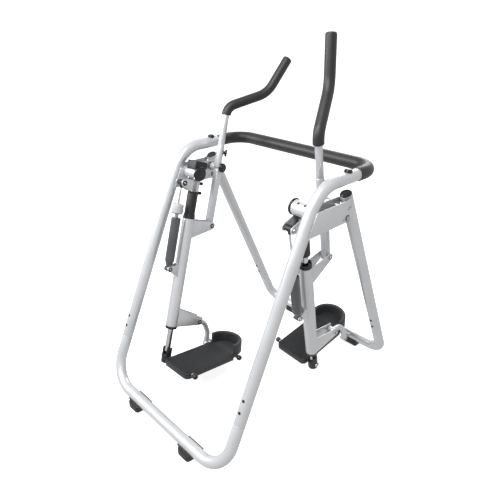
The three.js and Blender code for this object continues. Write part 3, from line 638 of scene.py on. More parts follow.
@dataclass(frozen=True)
class Layout:
    """The sizes that several sub-assemblies share, in millimetres, as in the solid model."""

    half_track: float = 400.0
    tube_radius: float = 25.0
    bar_height: float = 45.0
    top_corner: Pair = (493.4, 1101.0)
    stub_end: float = 727.0
    front_bar: float = 1130.0
    leg_top: Pair = (664.9, 1037.7)
    hip: tuple[float, float, float] = (317.0, 497.7, 998.3)
    lean_slope: float = 0.063
    lever_forward: float = 139.0
    fold_point: Pair = (648.0, 950.0)
    rod_forward: float = 3.0
    slide_rest: float = 256.4
    slide_rate: float = 136.6
    pedal_drop: float = 917.02
    pedal_level: float = 0.614
    pedal_rate: float = -0.4835
    damper_back: float = 70.0
    gap: float = 0.3
    rear_foot_reach: float = 40.0
    rear_seam: float = 224.0
    front_seam: float = 165.0
    swing: dict[Side, float] = field(default_factory=lambda: {Side.LEFT: -18.2, Side.RIGHT: 13.8})

    @property
    def rear_corner(self) -> Pair:
        """The corner of the rear floor hoop in (Y, Z)."""
        return (0.0, self.bar_height)

    @property
    def front_corner(self) -> Pair:
        """The corner of the front floor hoop in (Y, Z)."""
        return (self.front_bar, self.bar_height)

    @property
    def rear_joint(self) -> Pair:
        """The seam of rear hoop and upright in (Y, Z)."""
        return along(self.rear_corner, self.top_corner, self.rear_seam)

    @property
    def front_joint(self) -> Pair:
        """The seam of front hoop and front leg in (Y, Z)."""
        return along(self.front_corner, self.leg_top, self.front_seam)

    @property
    def leg_down(self) -> Vector:
        """The front leg's direction downwards in (Y, Z)."""
        return (Vector(self.front_corner) - Vector(self.leg_top)).normalized()

    @property
    def lean(self) -> Matrix:
        """The lean of the hip axle and of all that hangs on it."""
        return Matrix.Rotation(math.atan(self.lean_slope), 4, "Y")

    @property
    def on_rod(self) -> Matrix:
        """The slide rod's axis in the leg's and the sliding tube's frames."""
        return shifted(y=self.rod_forward)

    @property
    def on_damper(self) -> Matrix:
        """The damper's axis in the leg's and the sliding tube's frames."""
        return shifted(y=-self.damper_back)

    def turned(self, side: Side, ratio: float = 1.0, level: float = 0.0) -> Matrix:
        """The turn about X of a part that follows its side's swing at a ratio, from a level."""
        return Matrix.Rotation(math.radians(level + ratio * self.swing[side]), 4, "X")

    def world(self, side: Side = Side.RIGHT) -> Matrix:
        """From the machine's millimetres to the row frame, mirrored for the left side."""
        rear_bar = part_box("left_rear_foot")[0].y + self.rear_foot_reach * MM
        return shifted(y=rear_bar) @ Matrix.Scale(MM, 4) @ Matrix.Diagonal((side.value, 1, 1, 1))

    def hip_frame(self, side: Side) -> Matrix:
        """X outwards along the leaning hip axle."""
        return self.world(side) @ Matrix.Translation(self.hip) @ self.lean

    def leg(self, side: Side) -> Matrix:
        """The swinging leg's frame, Z up along its rod."""
        return self.hip_frame(side) @ self.turned(side)

    def slide(self, side: Side) -> Matrix:
        """The sliding tube's frame, with its origin at the tube's top."""
        drop = self.slide_rest + self.slide_rate * math.radians(self.swing[side])
        return self.leg(side) @ shifted(z=-drop)

    def step(self, side: Side) -> Matrix:
        """The pedal's frame, with its origin on the rear pin."""
        pin = self.leg(side) @ shifted(y=self.rod_forward, z=-self.pedal_drop)
        return pin @ self.turned(side, self.pedal_rate, self.pedal_level)

    def lever(self, side: Side) -> Matrix:
        """The hand lever's frame, with its origin on its hub axis."""
        return self.hip_frame(side) @ shifted(y=self.lever_forward) @ self.turned(side)


FrameOf = Callable[[Layout, Side], Matrix]


@dataclass
class SideParts:
    """A sub-assembly of one side, drawn for the right side and mirrored for the left."""

    layout: Layout
    side: Side
    body: ClassVar[str] = "frame"
    frame_of: ClassVar[FrameOf] = Layout.world

    @classmethod
    def both(cls, layout: Layout, **sizes: float | str) -> None:
        """Builds the sub-assembly on both sides."""
        for side in Side:
            cls(layout, side, **sizes).build()

    @property
    def place(self) -> Matrix:
        """From the sub-assembly's millimetres to the row frame."""
        return type(self).frame_of(self.layout, self.side)

    def show(
        self, solid: Solid, name: str, finish: Finish, node: str = "", body: str = ""
    ) -> bpy.types.Object:
        """Shows a piece, in place of its side's CAD node if it has one.

        Args:
            solid: The piece.
            name: Its name without the side.
            finish: Its surface.
            node: The CAD node's name without the side.
            body: The body that it rides on, where that isn't the sub-assembly's own.

        Returns:
            The object.
        """
        label = self.side.label
        nodes = [f"{label}_{node}"] if node else []
        ridden = (body or self.body).format(label)
        return solid.show(f"{label}_{name}", finish, ridden, self.place, nodes)


# Sub-assemblies


@dataclass
class FloorHoops:
    """The two tubes on the floor, each a U whose ends rise to the seams."""

    layout: Layout
    rear_bend: float = 130.0
    front_bend: float = 70.0

    def build(self) -> None:
        """Builds both hoops."""
        lay = self.layout
        half = lay.half_track
        rear = (lay.rear_corner, lay.rear_joint, self.rear_bend)
        front = (lay.front_corner, lay.front_joint, self.front_bend)
        for name, node, body, (corner, seam, bend) in (
            ("rear_hoop_tube", "lower_hoop", "frame", rear),
            ("front_hoop_tube", "front_hoop", "front_frame", front),
        ):
            corners = [(half, *seam), (half, *corner), (-half, *corner), (-half, *seam)]
            Solid().tube(corners, bend, lay.tube_radius).show(name, SILVER, body, lay.world(), [node])


@dataclass
class SideFrame(SideParts):
    """One side's upright and front leg with their screws, plug and knobs."""

    top_bend: float = 150.0
    rear_screw: float = 53.0
    front_screw: float = 78.0
    screw_step: float = 50.0
    screw_radius: float = 6.0
    screw_height: float = 3.4
    ear_radius: float = 22.0
    ear_half: float = 24.5
    plug_depth: float = 18.0
    plug_radius: float = 22.4
    plug_inset: float = 0.6
    plug_head: float = 4.0
    plug_slope: float = 2.5
    plug_rim: float = 6.0
    dish_radius: float = 15.4
    dish_depth: float = 1.6
    disc_radius: float = 15.8
    disc_span: Pair = (1.0, 2.8)
    knob_forward: float = 667.0
    knob_radius: float = 16.0
    knob_height: float = 10.0
    button_radius: float = 5.0
    button_height: float = 3.0
    button_forward: float = 705.0
    button_lean: float = 20.0

    def build(self) -> None:
        """Builds the side's tubes and their small parts."""
        self.upright()
        self.front_leg()
        self.screws()
        self.leg_plug()
        self.stub_knob()

    def upright(self) -> None:
        """The rear leg tube that bends over into the stub for the crossbar."""
        lay = self.layout
        foot = along(lay.rear_corner, lay.top_corner, lay.rear_seam + lay.gap)
        path = (foot, lay.top_corner, (lay.stub_end, lay.top_corner[1]))
        solid = Solid().tube([(lay.half_track, *spot) for spot in path], self.top_bend, lay.tube_radius)
        self.show(solid, "upright_tube", SILVER, "upright")

    def front_leg(self) -> None:
        """The front leg tube with the ear that turns on the fold bolt."""
        lay, down = self.layout, self.layout.leg_down
        length = math.dist(lay.leg_top, lay.front_corner) - lay.front_seam - lay.gap
        along_leg = aimed((lay.half_track, *lay.leg_top), (0, *down))
        solid = Solid().rod(0, length, lay.tube_radius, along_leg, edge=1.0)
        fold = Vector(lay.fold_point)
        across = Vector((-down.y, down.x))
        on_axis = fold - across * (fold - Vector(lay.leg_top)).dot(across)
        angle = math.degrees(math.atan2(down.y, down.x))
        outline = [tuple(on_axis + down * reach) for reach in (-self.ear_radius, self.ear_radius)]
        outline += arc(lay.fold_point, self.ear_radius, angle, angle - 180, 16)
        solid.prism(outline, -self.ear_half, self.ear_half, shifted(lay.half_track) @ PLATE, edge=1.0)
        self.show(solid, "front_leg_tube", SILVER, "front_leg", "front_frame")

    def screws(self) -> None:
        """Two black button screws on the rear face of each tube above its seam."""
        lay = self.layout
        rear_up = (Vector(lay.top_corner) - Vector(lay.rear_corner)).normalized()
        for tube, body, seam, up, first in (
            ("upright", "frame", lay.rear_joint, rear_up, self.rear_screw),
            ("front_leg", "front_frame", lay.front_joint, -lay.leg_down, self.front_screw),
        ):
            back = Vector((0, -up.y, up.x))
            solid = Solid()
            for reach in (first, first + self.screw_step):
                start = Vector((lay.half_track, seam[0] + up.x * reach, seam[1] + up.y * reach))
                stand = aimed(start + back * (lay.tube_radius - lay.gap), back)
                solid.screw(self.screw_radius, self.screw_height, stand)
            self.show(solid, f"{tube}_screws", BLACK_OXIDE, body=body)

    def leg_plug(self) -> None:
        """The moulded plug in the top of the front leg, with a raised rim round a shallow dish."""
        lay = self.layout
        place = aimed((lay.half_track, *lay.leg_top), (0, *-lay.leg_down))
        rim, head = lay.tube_radius - self.plug_inset, self.plug_head
        profile = [
            (-self.plug_depth, self.plug_radius), (lay.gap, self.plug_radius, 0), (lay.gap, rim),
            (head, rim - self.plug_slope), (head, rim - self.plug_rim),
            (head - self.dish_depth, self.dish_radius),
        ]
        self.show(Solid().lathe(profile, place, edge=1.0), "leg_plug_cap", CAP, "leg_plug", "front_frame")
        disc = Solid().rod(*self.disc_span, self.disc_radius, place, edge=0.4)
        self.show(disc, "leg_plug_disc", PLASTIC, body="front_frame")

    def stub_knob(self) -> None:
        """The round-headed knob that locks the crossbar in the stub, and the small button beyond it."""
        lay = self.layout
        place = shifted(lay.half_track, self.knob_forward, lay.top_corner[1] + lay.tube_radius)
        knob = Solid().lathe(scaled(KNOB_SHAPE, self.knob_height, self.knob_radius), place, edge=1.5)
        self.show(knob, "stub_knob_head", CAP, "stub_knob")
        lean = Matrix.Rotation(math.radians(-self.button_lean), 4, "Y")
        axis = shifted(lay.half_track, self.button_forward, lay.top_corner[1])
        stand = axis @ lean @ shifted(z=lay.tube_radius)
        button = Solid().screw(self.button_radius, self.button_height, stand)
        self.show(button, "stub_button", BLACK_OXIDE)


@dataclass
class Foot(SideParts):
    """A moulded foot that carries a floor tube, with a flange under the tube if it has a rim."""

    kind: str
    carrier: str
    width: float
    depth: float
    height: float
    centre: float
    forward: float
    rim: float = 0.0
    rim_height: float = 3.0
    flange_rims: float = 3.0
    corner: float = 8.0
    seat: float = 1.0
    sole_inset: float = 5.0
    sole_height: float = 3.0

    def build(self) -> None:
        """Builds the foot with its sole."""
        half_w, half_d = self.width / 2, self.depth / 2
        lap = self.flange_rims * self.rim
        back, wide = half_d + self.rim, half_w + lap
        sole_w, sole_d = half_w - self.sole_inset, half_d - self.sole_inset
        place = shifted(self.centre, self.forward)
        block = box_outline(-half_w, half_w, -back, half_d)
        solid = Solid().prism(block, 0, self.height - self.seat, place, 2.5, self.corner, segments=3)
        if self.rim:
            flange = box_outline(-wide, wide, lap - back, back)
            solid.prism(flange, self.height - self.rim_height, self.height, place, edge=1.0, corner=1.5)
        sole = box_outline(-sole_w, sole_w, -sole_d, sole_d)
        solid.prism(sole, 0, self.sole_height, place, corner=self.corner)
        self.show(solid, f"{self.kind}_block", PLASTIC, self.kind, self.carrier)


@dataclass
class Bracket(SideParts):
    """Two cut plates that join upright, axles and fold bolt."""

    inner: float = 25.3
    sheet: float = 4.0
    rise: float = 24.7
    drop: float = 65.3
    corner: float = 8.0
    horn: Pair = (9.0, -4.0)
    horn_root: float = 24.0
    horn_corner: float = 2.0
    nose: float = 20.0
    waist: Pair = (4.0, 34.0)
    inner_reach: float = 18.0
    axle_radius: float = 15.0
    lever_axle_radius: float = 10.0
    shoulder: float = 5.0
    barrel: Pair = (27.0, 50.3)
    hub: Pair = (24.0, 50.3)
    shank_radius: float = 6.0
    washer_radius: float = 13.0
    washer_height: float = 1.6
    bolt_radius: float = 10.5
    bolt_height: float = 6.0
    pin_radius: float = 3.0
    pin_proud: float = 3.0
    pin_back: float = 25.6

    @property
    def outer(self) -> float:
        """Distance of the plates' outer faces from the tube's middle."""
        return self.inner + self.sheet

    def build(self) -> None:
        """Builds the plates, axles, bolt and pin."""
        self.plates()
        self.axles()
        self.fasteners()

    def outline(self, reach: float = 0) -> list[Point]:
        """Gives a plate's outline.

        Args:
            reach: How much further forward its upper front edge stands.

        Returns:
            The corners in (Y, Z), each with its rounding.
        """
        lay = self.layout
        slope = (lay.top_corner[0] - lay.rear_corner[0]) / (lay.top_corner[1] - lay.rear_corner[1])
        top, bottom = lay.hip[2] + self.rise, lay.hip[2] - self.drop
        (fold_y, fold_z), (leg_y, leg_z) = lay.fold_point, lay.leg_top
        return [
            ((bottom - lay.bar_height) * slope, bottom, 0),
            (fold_y, bottom, self.corner),
            (fold_y + self.nose, fold_z - self.nose / 2, self.corner),
            (fold_y - self.waist[0] + reach, fold_z + self.waist[1], self.nose),
            (leg_y + self.horn[0] + reach, leg_z + self.horn[1] - reach, self.horn_corner),
            (leg_y - self.horn_root, top, self.corner),
            ((top - lay.bar_height) * slope, top, 0),
        ]

    def plates(self) -> None:
        """The two plates, of which the inner one reaches further forward beside the leg tube."""
        solid = Solid()
        place = shifted(self.layout.half_track) @ PLATE
        for start, reach in ((-self.outer, self.inner_reach), (self.inner, 0)):
            solid.prism(self.outline(reach), start, start + self.sheet, place, edge=0.9)
        self.show(solid, "bracket_plates", SILVER, "bracket")

    def axles(self) -> None:
        """The hip axle and the lever axle, each with a shoulder against the inner plate."""
        lay = self.layout
        middle = self.outer - self.sheet / 2
        tilt = math.cos(math.atan(lay.lean_slope))
        wall, end = ((lay.half_track + face - lay.hip[0]) / tilt for face in (-middle, middle))
        solid = Solid()
        for radius, (inner, start), forward in (
            (self.axle_radius, self.barrel, 0),
            (self.lever_axle_radius, self.hub, lay.lever_forward),
        ):
            wide = radius + self.shoulder
            shoulder = [(start, wide), (wall, wide)]
            profile = [(-inner, radius), (start, radius), *shoulder, (wall, radius), (end, radius)]
            place = Matrix.Translation(lay.hip) @ lay.lean @ shifted(y=forward) @ TO_X
            solid.lathe(profile, place, edge=0.4)
        self.show(solid, "axles", ZINC)

    def fasteners(self) -> None:
        """The fold bolt's heads and the lock pin's ends on the outside of the plates."""
        lay = self.layout
        solid, washers = Solid(), Solid()
        middle = shifted(lay.half_track, *lay.fold_point) @ TO_X
        solid.rod(-self.outer, self.outer, self.shank_radius, middle)
        for turn in (TO_DOWN, Matrix()):
            face = middle @ turn @ shifted(z=self.outer)
            washers.rod(0, self.washer_height, self.washer_radius, face, edge=0.6, steps=32)
            solid.bolt_head(self.bolt_radius, self.bolt_height, face)
        self.show(solid, "fold_bolt", ZINC)
        self.show(washers, "fold_washers", PLASTIC)
        reach = self.outer + self.pin_proud
        spot = along(lay.fold_point, self.outline()[0][:2], self.pin_back)
        pin = Solid().rod(-reach, reach, self.pin_radius, shifted(lay.half_track, *spot) @ TO_X)
        self.show(pin, "lock_pin", ZINC)


@dataclass
class Crossbar:
    """The foam-padded bar that joins the two stubs."""

    layout: Layout
    forward: float = 860.8
    bend: float = 90.0
    foam_radius: float = 27.8

    def build(self) -> None:
        """Builds the foam sleeve and dresses the hidden tube."""
        lay = self.layout
        height, half, start = lay.top_corner[1], lay.half_track, lay.stub_end + lay.gap
        path = ((half, start), (half, self.forward), (-half, self.forward), (-half, start))
        corners = [(x, y, height) for x, y in path]
        foam = Solid().tube(corners, self.bend, self.foam_radius, end_edge=2.5, end_steps=4)
        foam = foam.show("crossbar_foam_sleeve", FOAM, "frame", lay.world(), ["crossbar_foam"])
        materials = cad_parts["crossbar_tube"].data.materials
        materials.clear()
        materials.append(SILVER.material())


@dataclass
class Leg(SideParts):
    """The swinging part: housing on the hip axle, rod, sleeve, connector and damper rod."""

    body: ClassVar[str] = "{}_leg"
    frame_of: ClassVar[FrameOf] = Layout.leg
    barrel_radius: float = 30.0
    barrel_wall: float = 6.0
    barrel_inner: float = 27.0
    barrel_outer: float = 50.0
    channel_half: float = 24.0
    channel_sheet: float = 4.0
    channel_front: float = 21.5
    channel_back: float = 22.0
    channel_span: Pair = (-84.0, -19.0)
    channel_corner: float = 12.0
    eye_drop: float = 50.0
    ear_tip: float = 17.0
    ear_turn: Pair = (96.0, 250.0)
    neck_bolts: Pair = (45.0, 90.0)
    neck_bolt_radius: float = 7.5
    neck_bolt_root: float = 2.0
    neck_bolt_proud: float = 22.0
    neck_bolt_inward: float = 8.0
    cap_lip: float = 4.0
    cap_thickness: float = 14.5
    screw_places: Pair = (-1.0, 31.0)
    screw_radius: float = 4.5
    screw_height: float = 2.6
    screw_sink: float = 0.4
    screw_lean: float = 16.0
    rod_radius: float = 14.0
    rod_span: Pair = (-884.0, -40.0)
    sleeve_radius: float = 25.0
    sleeve_span: Pair = (-225.0, -85.0)
    sleeve_taper: Pair = (3.0, 1.0)
    groove_span: Pair = (9.0, 6.0)
    groove_depth: float = 1.2
    connector_radius: float = 23.5
    connector_span: Pair = (-945.0, -866.0)
    connector_taper: Pair = (5.0, 2.0)
    connector_fork: float = 34.0
    fork_root: float = 3.0
    fork_angle: float = 48.0
    fork_fit: float = 1.0
    damper_rod_radius: float = 4.5
    damper_rod_end: float = -300.0
    damper_eye: float = 13.0
    damper_eye_half: float = 17.0
    damper_neck: tuple[float, float, float] = (24.0, 7.5, 6.0)

    def build(self) -> None:
        """Builds the leg's pieces."""
        self.housing()
        self.bolts()
        self.cap()
        self.rod()
        self.connector()
        self.damper_rod()

    def housing(self) -> None:
        """The barrel and the folded channel with its damper ears."""
        wide, bore = self.barrel_radius, self.barrel_radius - self.barrel_wall
        barrel = ring_profile(-self.barrel_inner, self.barrel_outer, bore, wide)
        solid = Solid().lathe(barrel, TO_X, edge=1.2, ring=True)
        half, sheet, outside = self.channel_half, self.channel_sheet, self.channel_corner
        inside, front, back = half - sheet, self.channel_front, -self.channel_back
        bottom, top = self.channel_span
        channel = [
            (-half, back, 0), (-inside, back, 0),
            (-inside, front - sheet, outside - sheet), (inside, front - sheet, outside - sheet),
            (inside, back, 0), (half, back, 0), (half, front, outside), (-half, front, outside),
        ]
        solid.prism(channel, bottom, top, edge=0.7)
        eye = (-self.layout.damper_back, -self.eye_drop)
        ear = [(0, sheet - wide), *arc(eye, self.ear_tip, *self.ear_turn, 14), (back, bottom), (0, bottom)]
        solid.plate_pair(ear, inside, sheet, edge=0.8)
        self.show(solid, "housing", SILVER, "hip_housing")

    def bolts(self) -> None:
        """The neck bolts, the damper's upper bolt and, on the right, the screws of the barrel."""
        black, bright = Solid(), Solid()
        for drop in self.neck_bolts:
            place = shifted(-self.neck_bolt_inward, self.channel_front, -drop) @ TO_Y
            black.rod(-self.neck_bolt_root, self.neck_bolt_proud, self.neck_bolt_radius, place, edge=2.0)
        eye = self.layout.on_damper @ shifted(z=-self.eye_drop) @ TO_X
        CrossBolt().build(black, bright, eye, self.channel_half)
        self.show(black, "housing_bolts", BLACK_OXIDE)
        self.show(bright, "damper_top_bolt", ZINC)
        if self.side is Side.RIGHT:
            screws = Solid()
            rearwards = Matrix.Rotation(math.radians(self.screw_lean), 4, "X")
            for offset in self.screw_places:
                place = shifted(offset) @ rearwards @ shifted(z=self.barrel_radius - self.screw_sink)
                screws.screw(self.screw_radius, self.screw_height, place)
            self.show(screws, "housing_screws", BLACK_OXIDE)

    def cap(self) -> None:
        """The domed cap on the inner end of the barrel."""
        place = shifted(-self.barrel_inner) @ TO_X @ TO_DOWN
        dome = scaled(DOME_SHAPE, self.cap_thickness, self.barrel_radius + self.cap_lip)
        self.show(Solid().lathe(dome, place, edge=3.0), "hip_dome", CAP, "hip_cap")

    def rod(self) -> None:
        """The slide rod and the grooved sleeve round its top."""
        rod = Solid().rod(*self.rod_span, self.rod_radius, self.layout.on_rod)
        self.show(rod, "chrome_rod", CHROME, "slide_rod")
        (low, high), wide, (rise, inset) = self.sleeve_span, self.sleeve_radius, self.sleeve_taper
        start, end = (high - below for below in self.groove_span)
        deep = wide - self.groove_depth
        profile = [
            (low, wide - inset), (low + rise, wide), (start, wide), (start, deep), (end, deep), (end, wide),
            (high, wide),
        ]
        sleeve = Solid().lathe(profile, self.layout.on_rod)
        self.show(sleeve, "slide_sleeve", PLASTIC, "sleeve")

    def connector(self) -> None:
        """The black connector at the foot of the rod, with two cheeks that hold it."""
        (low, high), wide, (rise, inset) = self.connector_span, self.connector_radius, self.connector_taper
        shoulder, bore = high - self.connector_fork, self.rod_radius + self.fork_fit
        on_rod = self.layout.on_rod
        solid = Solid().lathe([(low, wide - inset), (low + rise, wide), (shoulder, wide)], on_rod, edge=1.6)
        for start in (-self.fork_angle, 180 - self.fork_angle):
            end = start + 2 * self.fork_angle
            cheek = [*arc((0, 0), wide, start, end), *arc((0, 0), bore, end, start)]
            solid.prism(cheek, shoulder - self.fork_root, high, on_rod, edge=1.0)
        self.show(solid, "rod_connector", PLASTIC, "connector")

    def damper_rod(self) -> None:
        """The damper's thin rod and the black eye on its top."""
        on_damper, drop = self.layout.on_damper, self.eye_drop
        length, wide, seat = self.damper_neck
        shaft = Solid().rod(self.damper_rod_end, -drop - seat, self.damper_rod_radius, on_damper)
        self.show(shaft, "damper_shaft", CHROME, "damper_rod")
        eye_place = on_damper @ shifted(z=-drop) @ TO_X
        eye = Solid().rod(-self.damper_eye_half, self.damper_eye_half, self.damper_eye, eye_place, edge=1.5)
        eye.rod(-drop - length, -drop, wide, on_damper, edge=1.0)
        self.show(eye, "damper_top_eye", PLASTIC)


@dataclass
class Counter(Leg):
    """The counter in its saddle cover on one leg's barrel, with a grey face to the rear."""

    span: Pair = (-27.0, 35.0)
    cover: ClassVar[Sequence[Point]] = ((-28, 15, 4), (28, 15, 6), (42, 29, 6), (42, 56, 12), (-28, 56, 4))
    window: ClassVar[Sequence[float]] = (-23, 31, 19, 52)
    window_height: float = 1.4
    window_lap: float = 0.6

    def build(self) -> None:
        """Builds the cover and the face."""
        solid = Solid().prism(self.cover, *self.span, PLATE, edge=2.5, segments=3)
        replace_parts(self.show(solid, "counter_cover", PLASTIC), "counter")
        place = shifted(y=self.span[0] - self.window_lap) @ TO_Y.inverted()
        face = Solid().prism(box_outline(*self.window), 0, self.window_height, place, edge=0.6, corner=3)
        self.show(face, "counter_face", PANEL)


@dataclass
class Slide(SideParts):
    """The tube that slides on the rod, with its plates, damper body and link."""

    body: ClassVar[str] = "{}_slide"
    frame_of: ClassVar[FrameOf] = Layout.slide
    radius: float = 29.0
    length: float = 545.0
    mouth: Pair = (26.5, 36.0)
    collar_height: float = 20.0
    collar_bore: float = 25.4
    collar_taper: Pair = (1.6, 2.2)
    collar_flange: float = 5.0
    collar_lap: float = 1.0
    collar_lip: float = 9.0
    collar_fit: float = 0.2
    collar_waist: float = 0.6
    collar_draft: float = 1.5
    foot_bore: float = 14.5
    plate_inner: float = 22.0
    plate_sheet: float = 3.0
    plate_root: float = 16.5
    # Each plate: its two heights at the tube, then radius and turn of its round tip.
    lever_plate: ClassVar[tuple] = ((-92, -6), 19, -63, 90)
    link_plate: ClassVar[tuple] = ((-540, -447), 17, -90, 0)
    lug_plate: ClassVar[tuple] = ((-222, -286), 14, 72, 306)
    link_ear: float = 23.0
    lug_root: float = -16.0
    lever_pin: Pair = (133.5, -28.0)
    link_pin: Pair = (162.0, -531.0)
    lug_pin_drop: float = 245.0
    lug_inner: float = 12.5
    lug_sheet: float = 4.0
    pin_radius: float = 5.0
    pin_proud: float = 1.0
    pin_head: float = 11.0
    drum_span: Pair = (22.0, 63.0)
    drum_radius: float = 26.0
    drum_bore: float = 5.2
    drum_edge: float = 2.0
    base_span: Pair = (-3.0, 0.5)
    base_radii: Pair = (22.0, 25.0)
    damper_radius: float = 22.0
    damper_taper: float = 205.0
    damper_mouth: float = 8.0
    damper_round: float = 3.0
    damper_neck: float = 9.0
    neck_root: float = 2.0
    eye_radius: float = 14.0
    eye_half: float = 12.2
    eye_rise: float = 14.3
    link_radius: float = 13.5
    link_foot: Pair = (90.8, -136.4)
    link_crown: Pair = (0.62, 0.16)
    link_knee: Pair = (0.99, 0.55)
    link_bend: float = 40.0
    link_hub: Pair = (21.4, 15.0)
    link_eye: Pair = (10.0, 14.0)

    @property
    def lug_pin(self) -> Pair:
        """The damper's lower pin in (Y, Z)."""
        return (-self.layout.damper_back, -self.lug_pin_drop)

    def build(self) -> None:
        """Builds the tube and all that it carries."""
        self.tube()
        self.pins()
        self.collars()
        self.damper()
        self.drum()
        self.link()

    def tube(self) -> None:
        """The tube with its welded plates, open at the top where the sleeve slides in."""
        bore, floor = self.mouth
        profile = [(-self.length, self.radius), (0, self.radius), (0, bore), (-floor, bore)]
        solid = Solid().lathe(profile, self.layout.on_rod, edge=1.2, steps=48)
        root, link = self.plate_root, self.link_pin
        (start, end), *tip = self.lever_plate
        lever_plate = [(root, start), *arc(self.lever_pin, *tip), (root, end)]
        (start, end), *tip = self.link_plate
        ear = (link[0] + tip[0], link[1] + self.link_ear)
        link_plate = [(root, start), *arc(link, *tip), ear, (root, end)]
        (start, end), *tip = self.lug_plate
        lug_plate = [(self.lug_root, start), *arc(self.lug_pin, *tip), (self.lug_root, end)]
        for outline in (lever_plate, link_plate):
            solid.plate_pair(outline, self.plate_inner, self.plate_sheet, edge=0.7)
        solid.plate_pair(lug_plate, self.lug_inner, self.lug_sheet, edge=0.7)
        self.show(solid, "sliding_tube", SILVER, "leg_tube")

    def pins(self) -> None:
        """The three cross pins with their heads."""
        plates, lugs = self.plate_inner + self.plate_sheet, self.lug_inner + self.lug_sheet
        solid, washers = Solid(), Solid()
        for spot, half in ((self.lever_pin, plates), (self.link_pin, plates), (self.lug_pin, lugs)):
            place = shifted(0, *spot) @ TO_X
            reach = half + self.pin_proud
            solid.rod(-reach, reach, self.pin_radius, place, edge=0.3, steps=24)
            CrossBolt(self.pin_head).build(washers, solid, place, half)
        self.show(solid, "cross_pins", ZINC)
        self.show(washers, "pin_washers", PLASTIC)

    def collars(self) -> None:
        """The black rings at the top and the foot of the tube."""
        on_rod, gap, wide, high = self.layout.on_rod, self.layout.gap, self.radius, self.collar_height
        first, last = self.collar_taper
        top = [
            (gap, wide), (high * self.collar_waist, wide - first), (high, wide - last),
            (high, self.collar_bore), (gap, self.collar_bore),
        ]
        top_ring = Solid().lathe(top, on_rod, edge=1.0, ring=True)
        self.show(top_ring, "top_ring", PLASTIC, "top_collar")
        foot, lip, inside = -self.length - gap, wide + self.collar_lap, wide + self.collar_fit
        flange = foot - self.collar_flange
        low = [
            (flange, lip - self.collar_draft), (foot + self.collar_lip, lip),
            (foot + self.collar_lip, inside), (foot, inside), (foot, self.foot_bore),
            (flange, self.foot_bore),
        ]
        foot_ring = Solid().lathe(low, on_rod, edge=0.6, ring=True)
        self.show(foot_ring, "foot_ring", PLASTIC, "bottom_collar")

    def damper(self) -> None:
        """The damper tube with its lower eye and the bright neck below the drum."""
        on_damper, low = self.layout.on_damper, -self.lug_pin_drop
        wide, slim, top = self.damper_radius, self.eye_half, self.damper_round
        profile = [
            (low, slim), (low + self.eye_rise, slim), (-self.damper_taper, wide),
            (-top, wide), (0, wide - top), (0, self.damper_mouth),
        ]
        body = Solid().lathe(profile, on_damper, edge=2.0, steps=48)
        neck = Solid().rod(-self.neck_root, self.drum_span[0] - self.layout.gap, self.damper_neck, on_damper)
        self.show(neck, "damper_neck", ZINC)
        body.rod(-slim, slim, self.eye_radius, on_damper @ shifted(z=low) @ TO_X, edge=1.2)
        self.show(body, "damper_tube", ENAMEL, "damper_body")

    def drum(self) -> None:
        """The speckled drum on the damper's top, with a black ring below it."""
        (low, high), wide, bore, soft = self.drum_span, self.drum_radius, self.drum_bore, self.drum_edge
        profile = [(low, wide), (high - soft, wide), (high, wide - soft), (high, bore), (low, bore)]
        drum = Solid().lathe(profile, self.layout.on_damper, edge=1.4, steps=48, ring=True)
        self.show(drum, "drum", HAMMER, "damper_drum")
        ring = ring_profile(*(low + offset for offset in self.base_span), *self.base_radii)
        base = Solid().lathe(ring, self.layout.on_damper, edge=0.5, steps=48, ring=True)
        self.show(base, "drum_base", PLASTIC)

    def link(self) -> None:
        """The curved link from the tube's foot to the front of the pedal."""
        run, drop = self.link_foot
        shares = ((0, 0), self.link_crown, self.link_knee, (1, 1))
        corners = [(0, run * forward, drop * down) for forward, down in shares]
        place = shifted(0, *self.link_pin)
        solid = Solid().tube(corners, self.link_bend, self.link_radius, place, end_edge=2.0, sides=32)
        half, wide = self.link_hub
        solid.rod(-half, half, wide, place @ TO_X, edge=1.2)
        bore, wide = self.link_eye
        eye = ring_profile(-wide, wide, bore, wide)
        solid.lathe(eye, place @ shifted(y=run, z=drop) @ TO_X, edge=1.2, ring=True)
        self.show(solid, "curved_link", SILVER, "link")


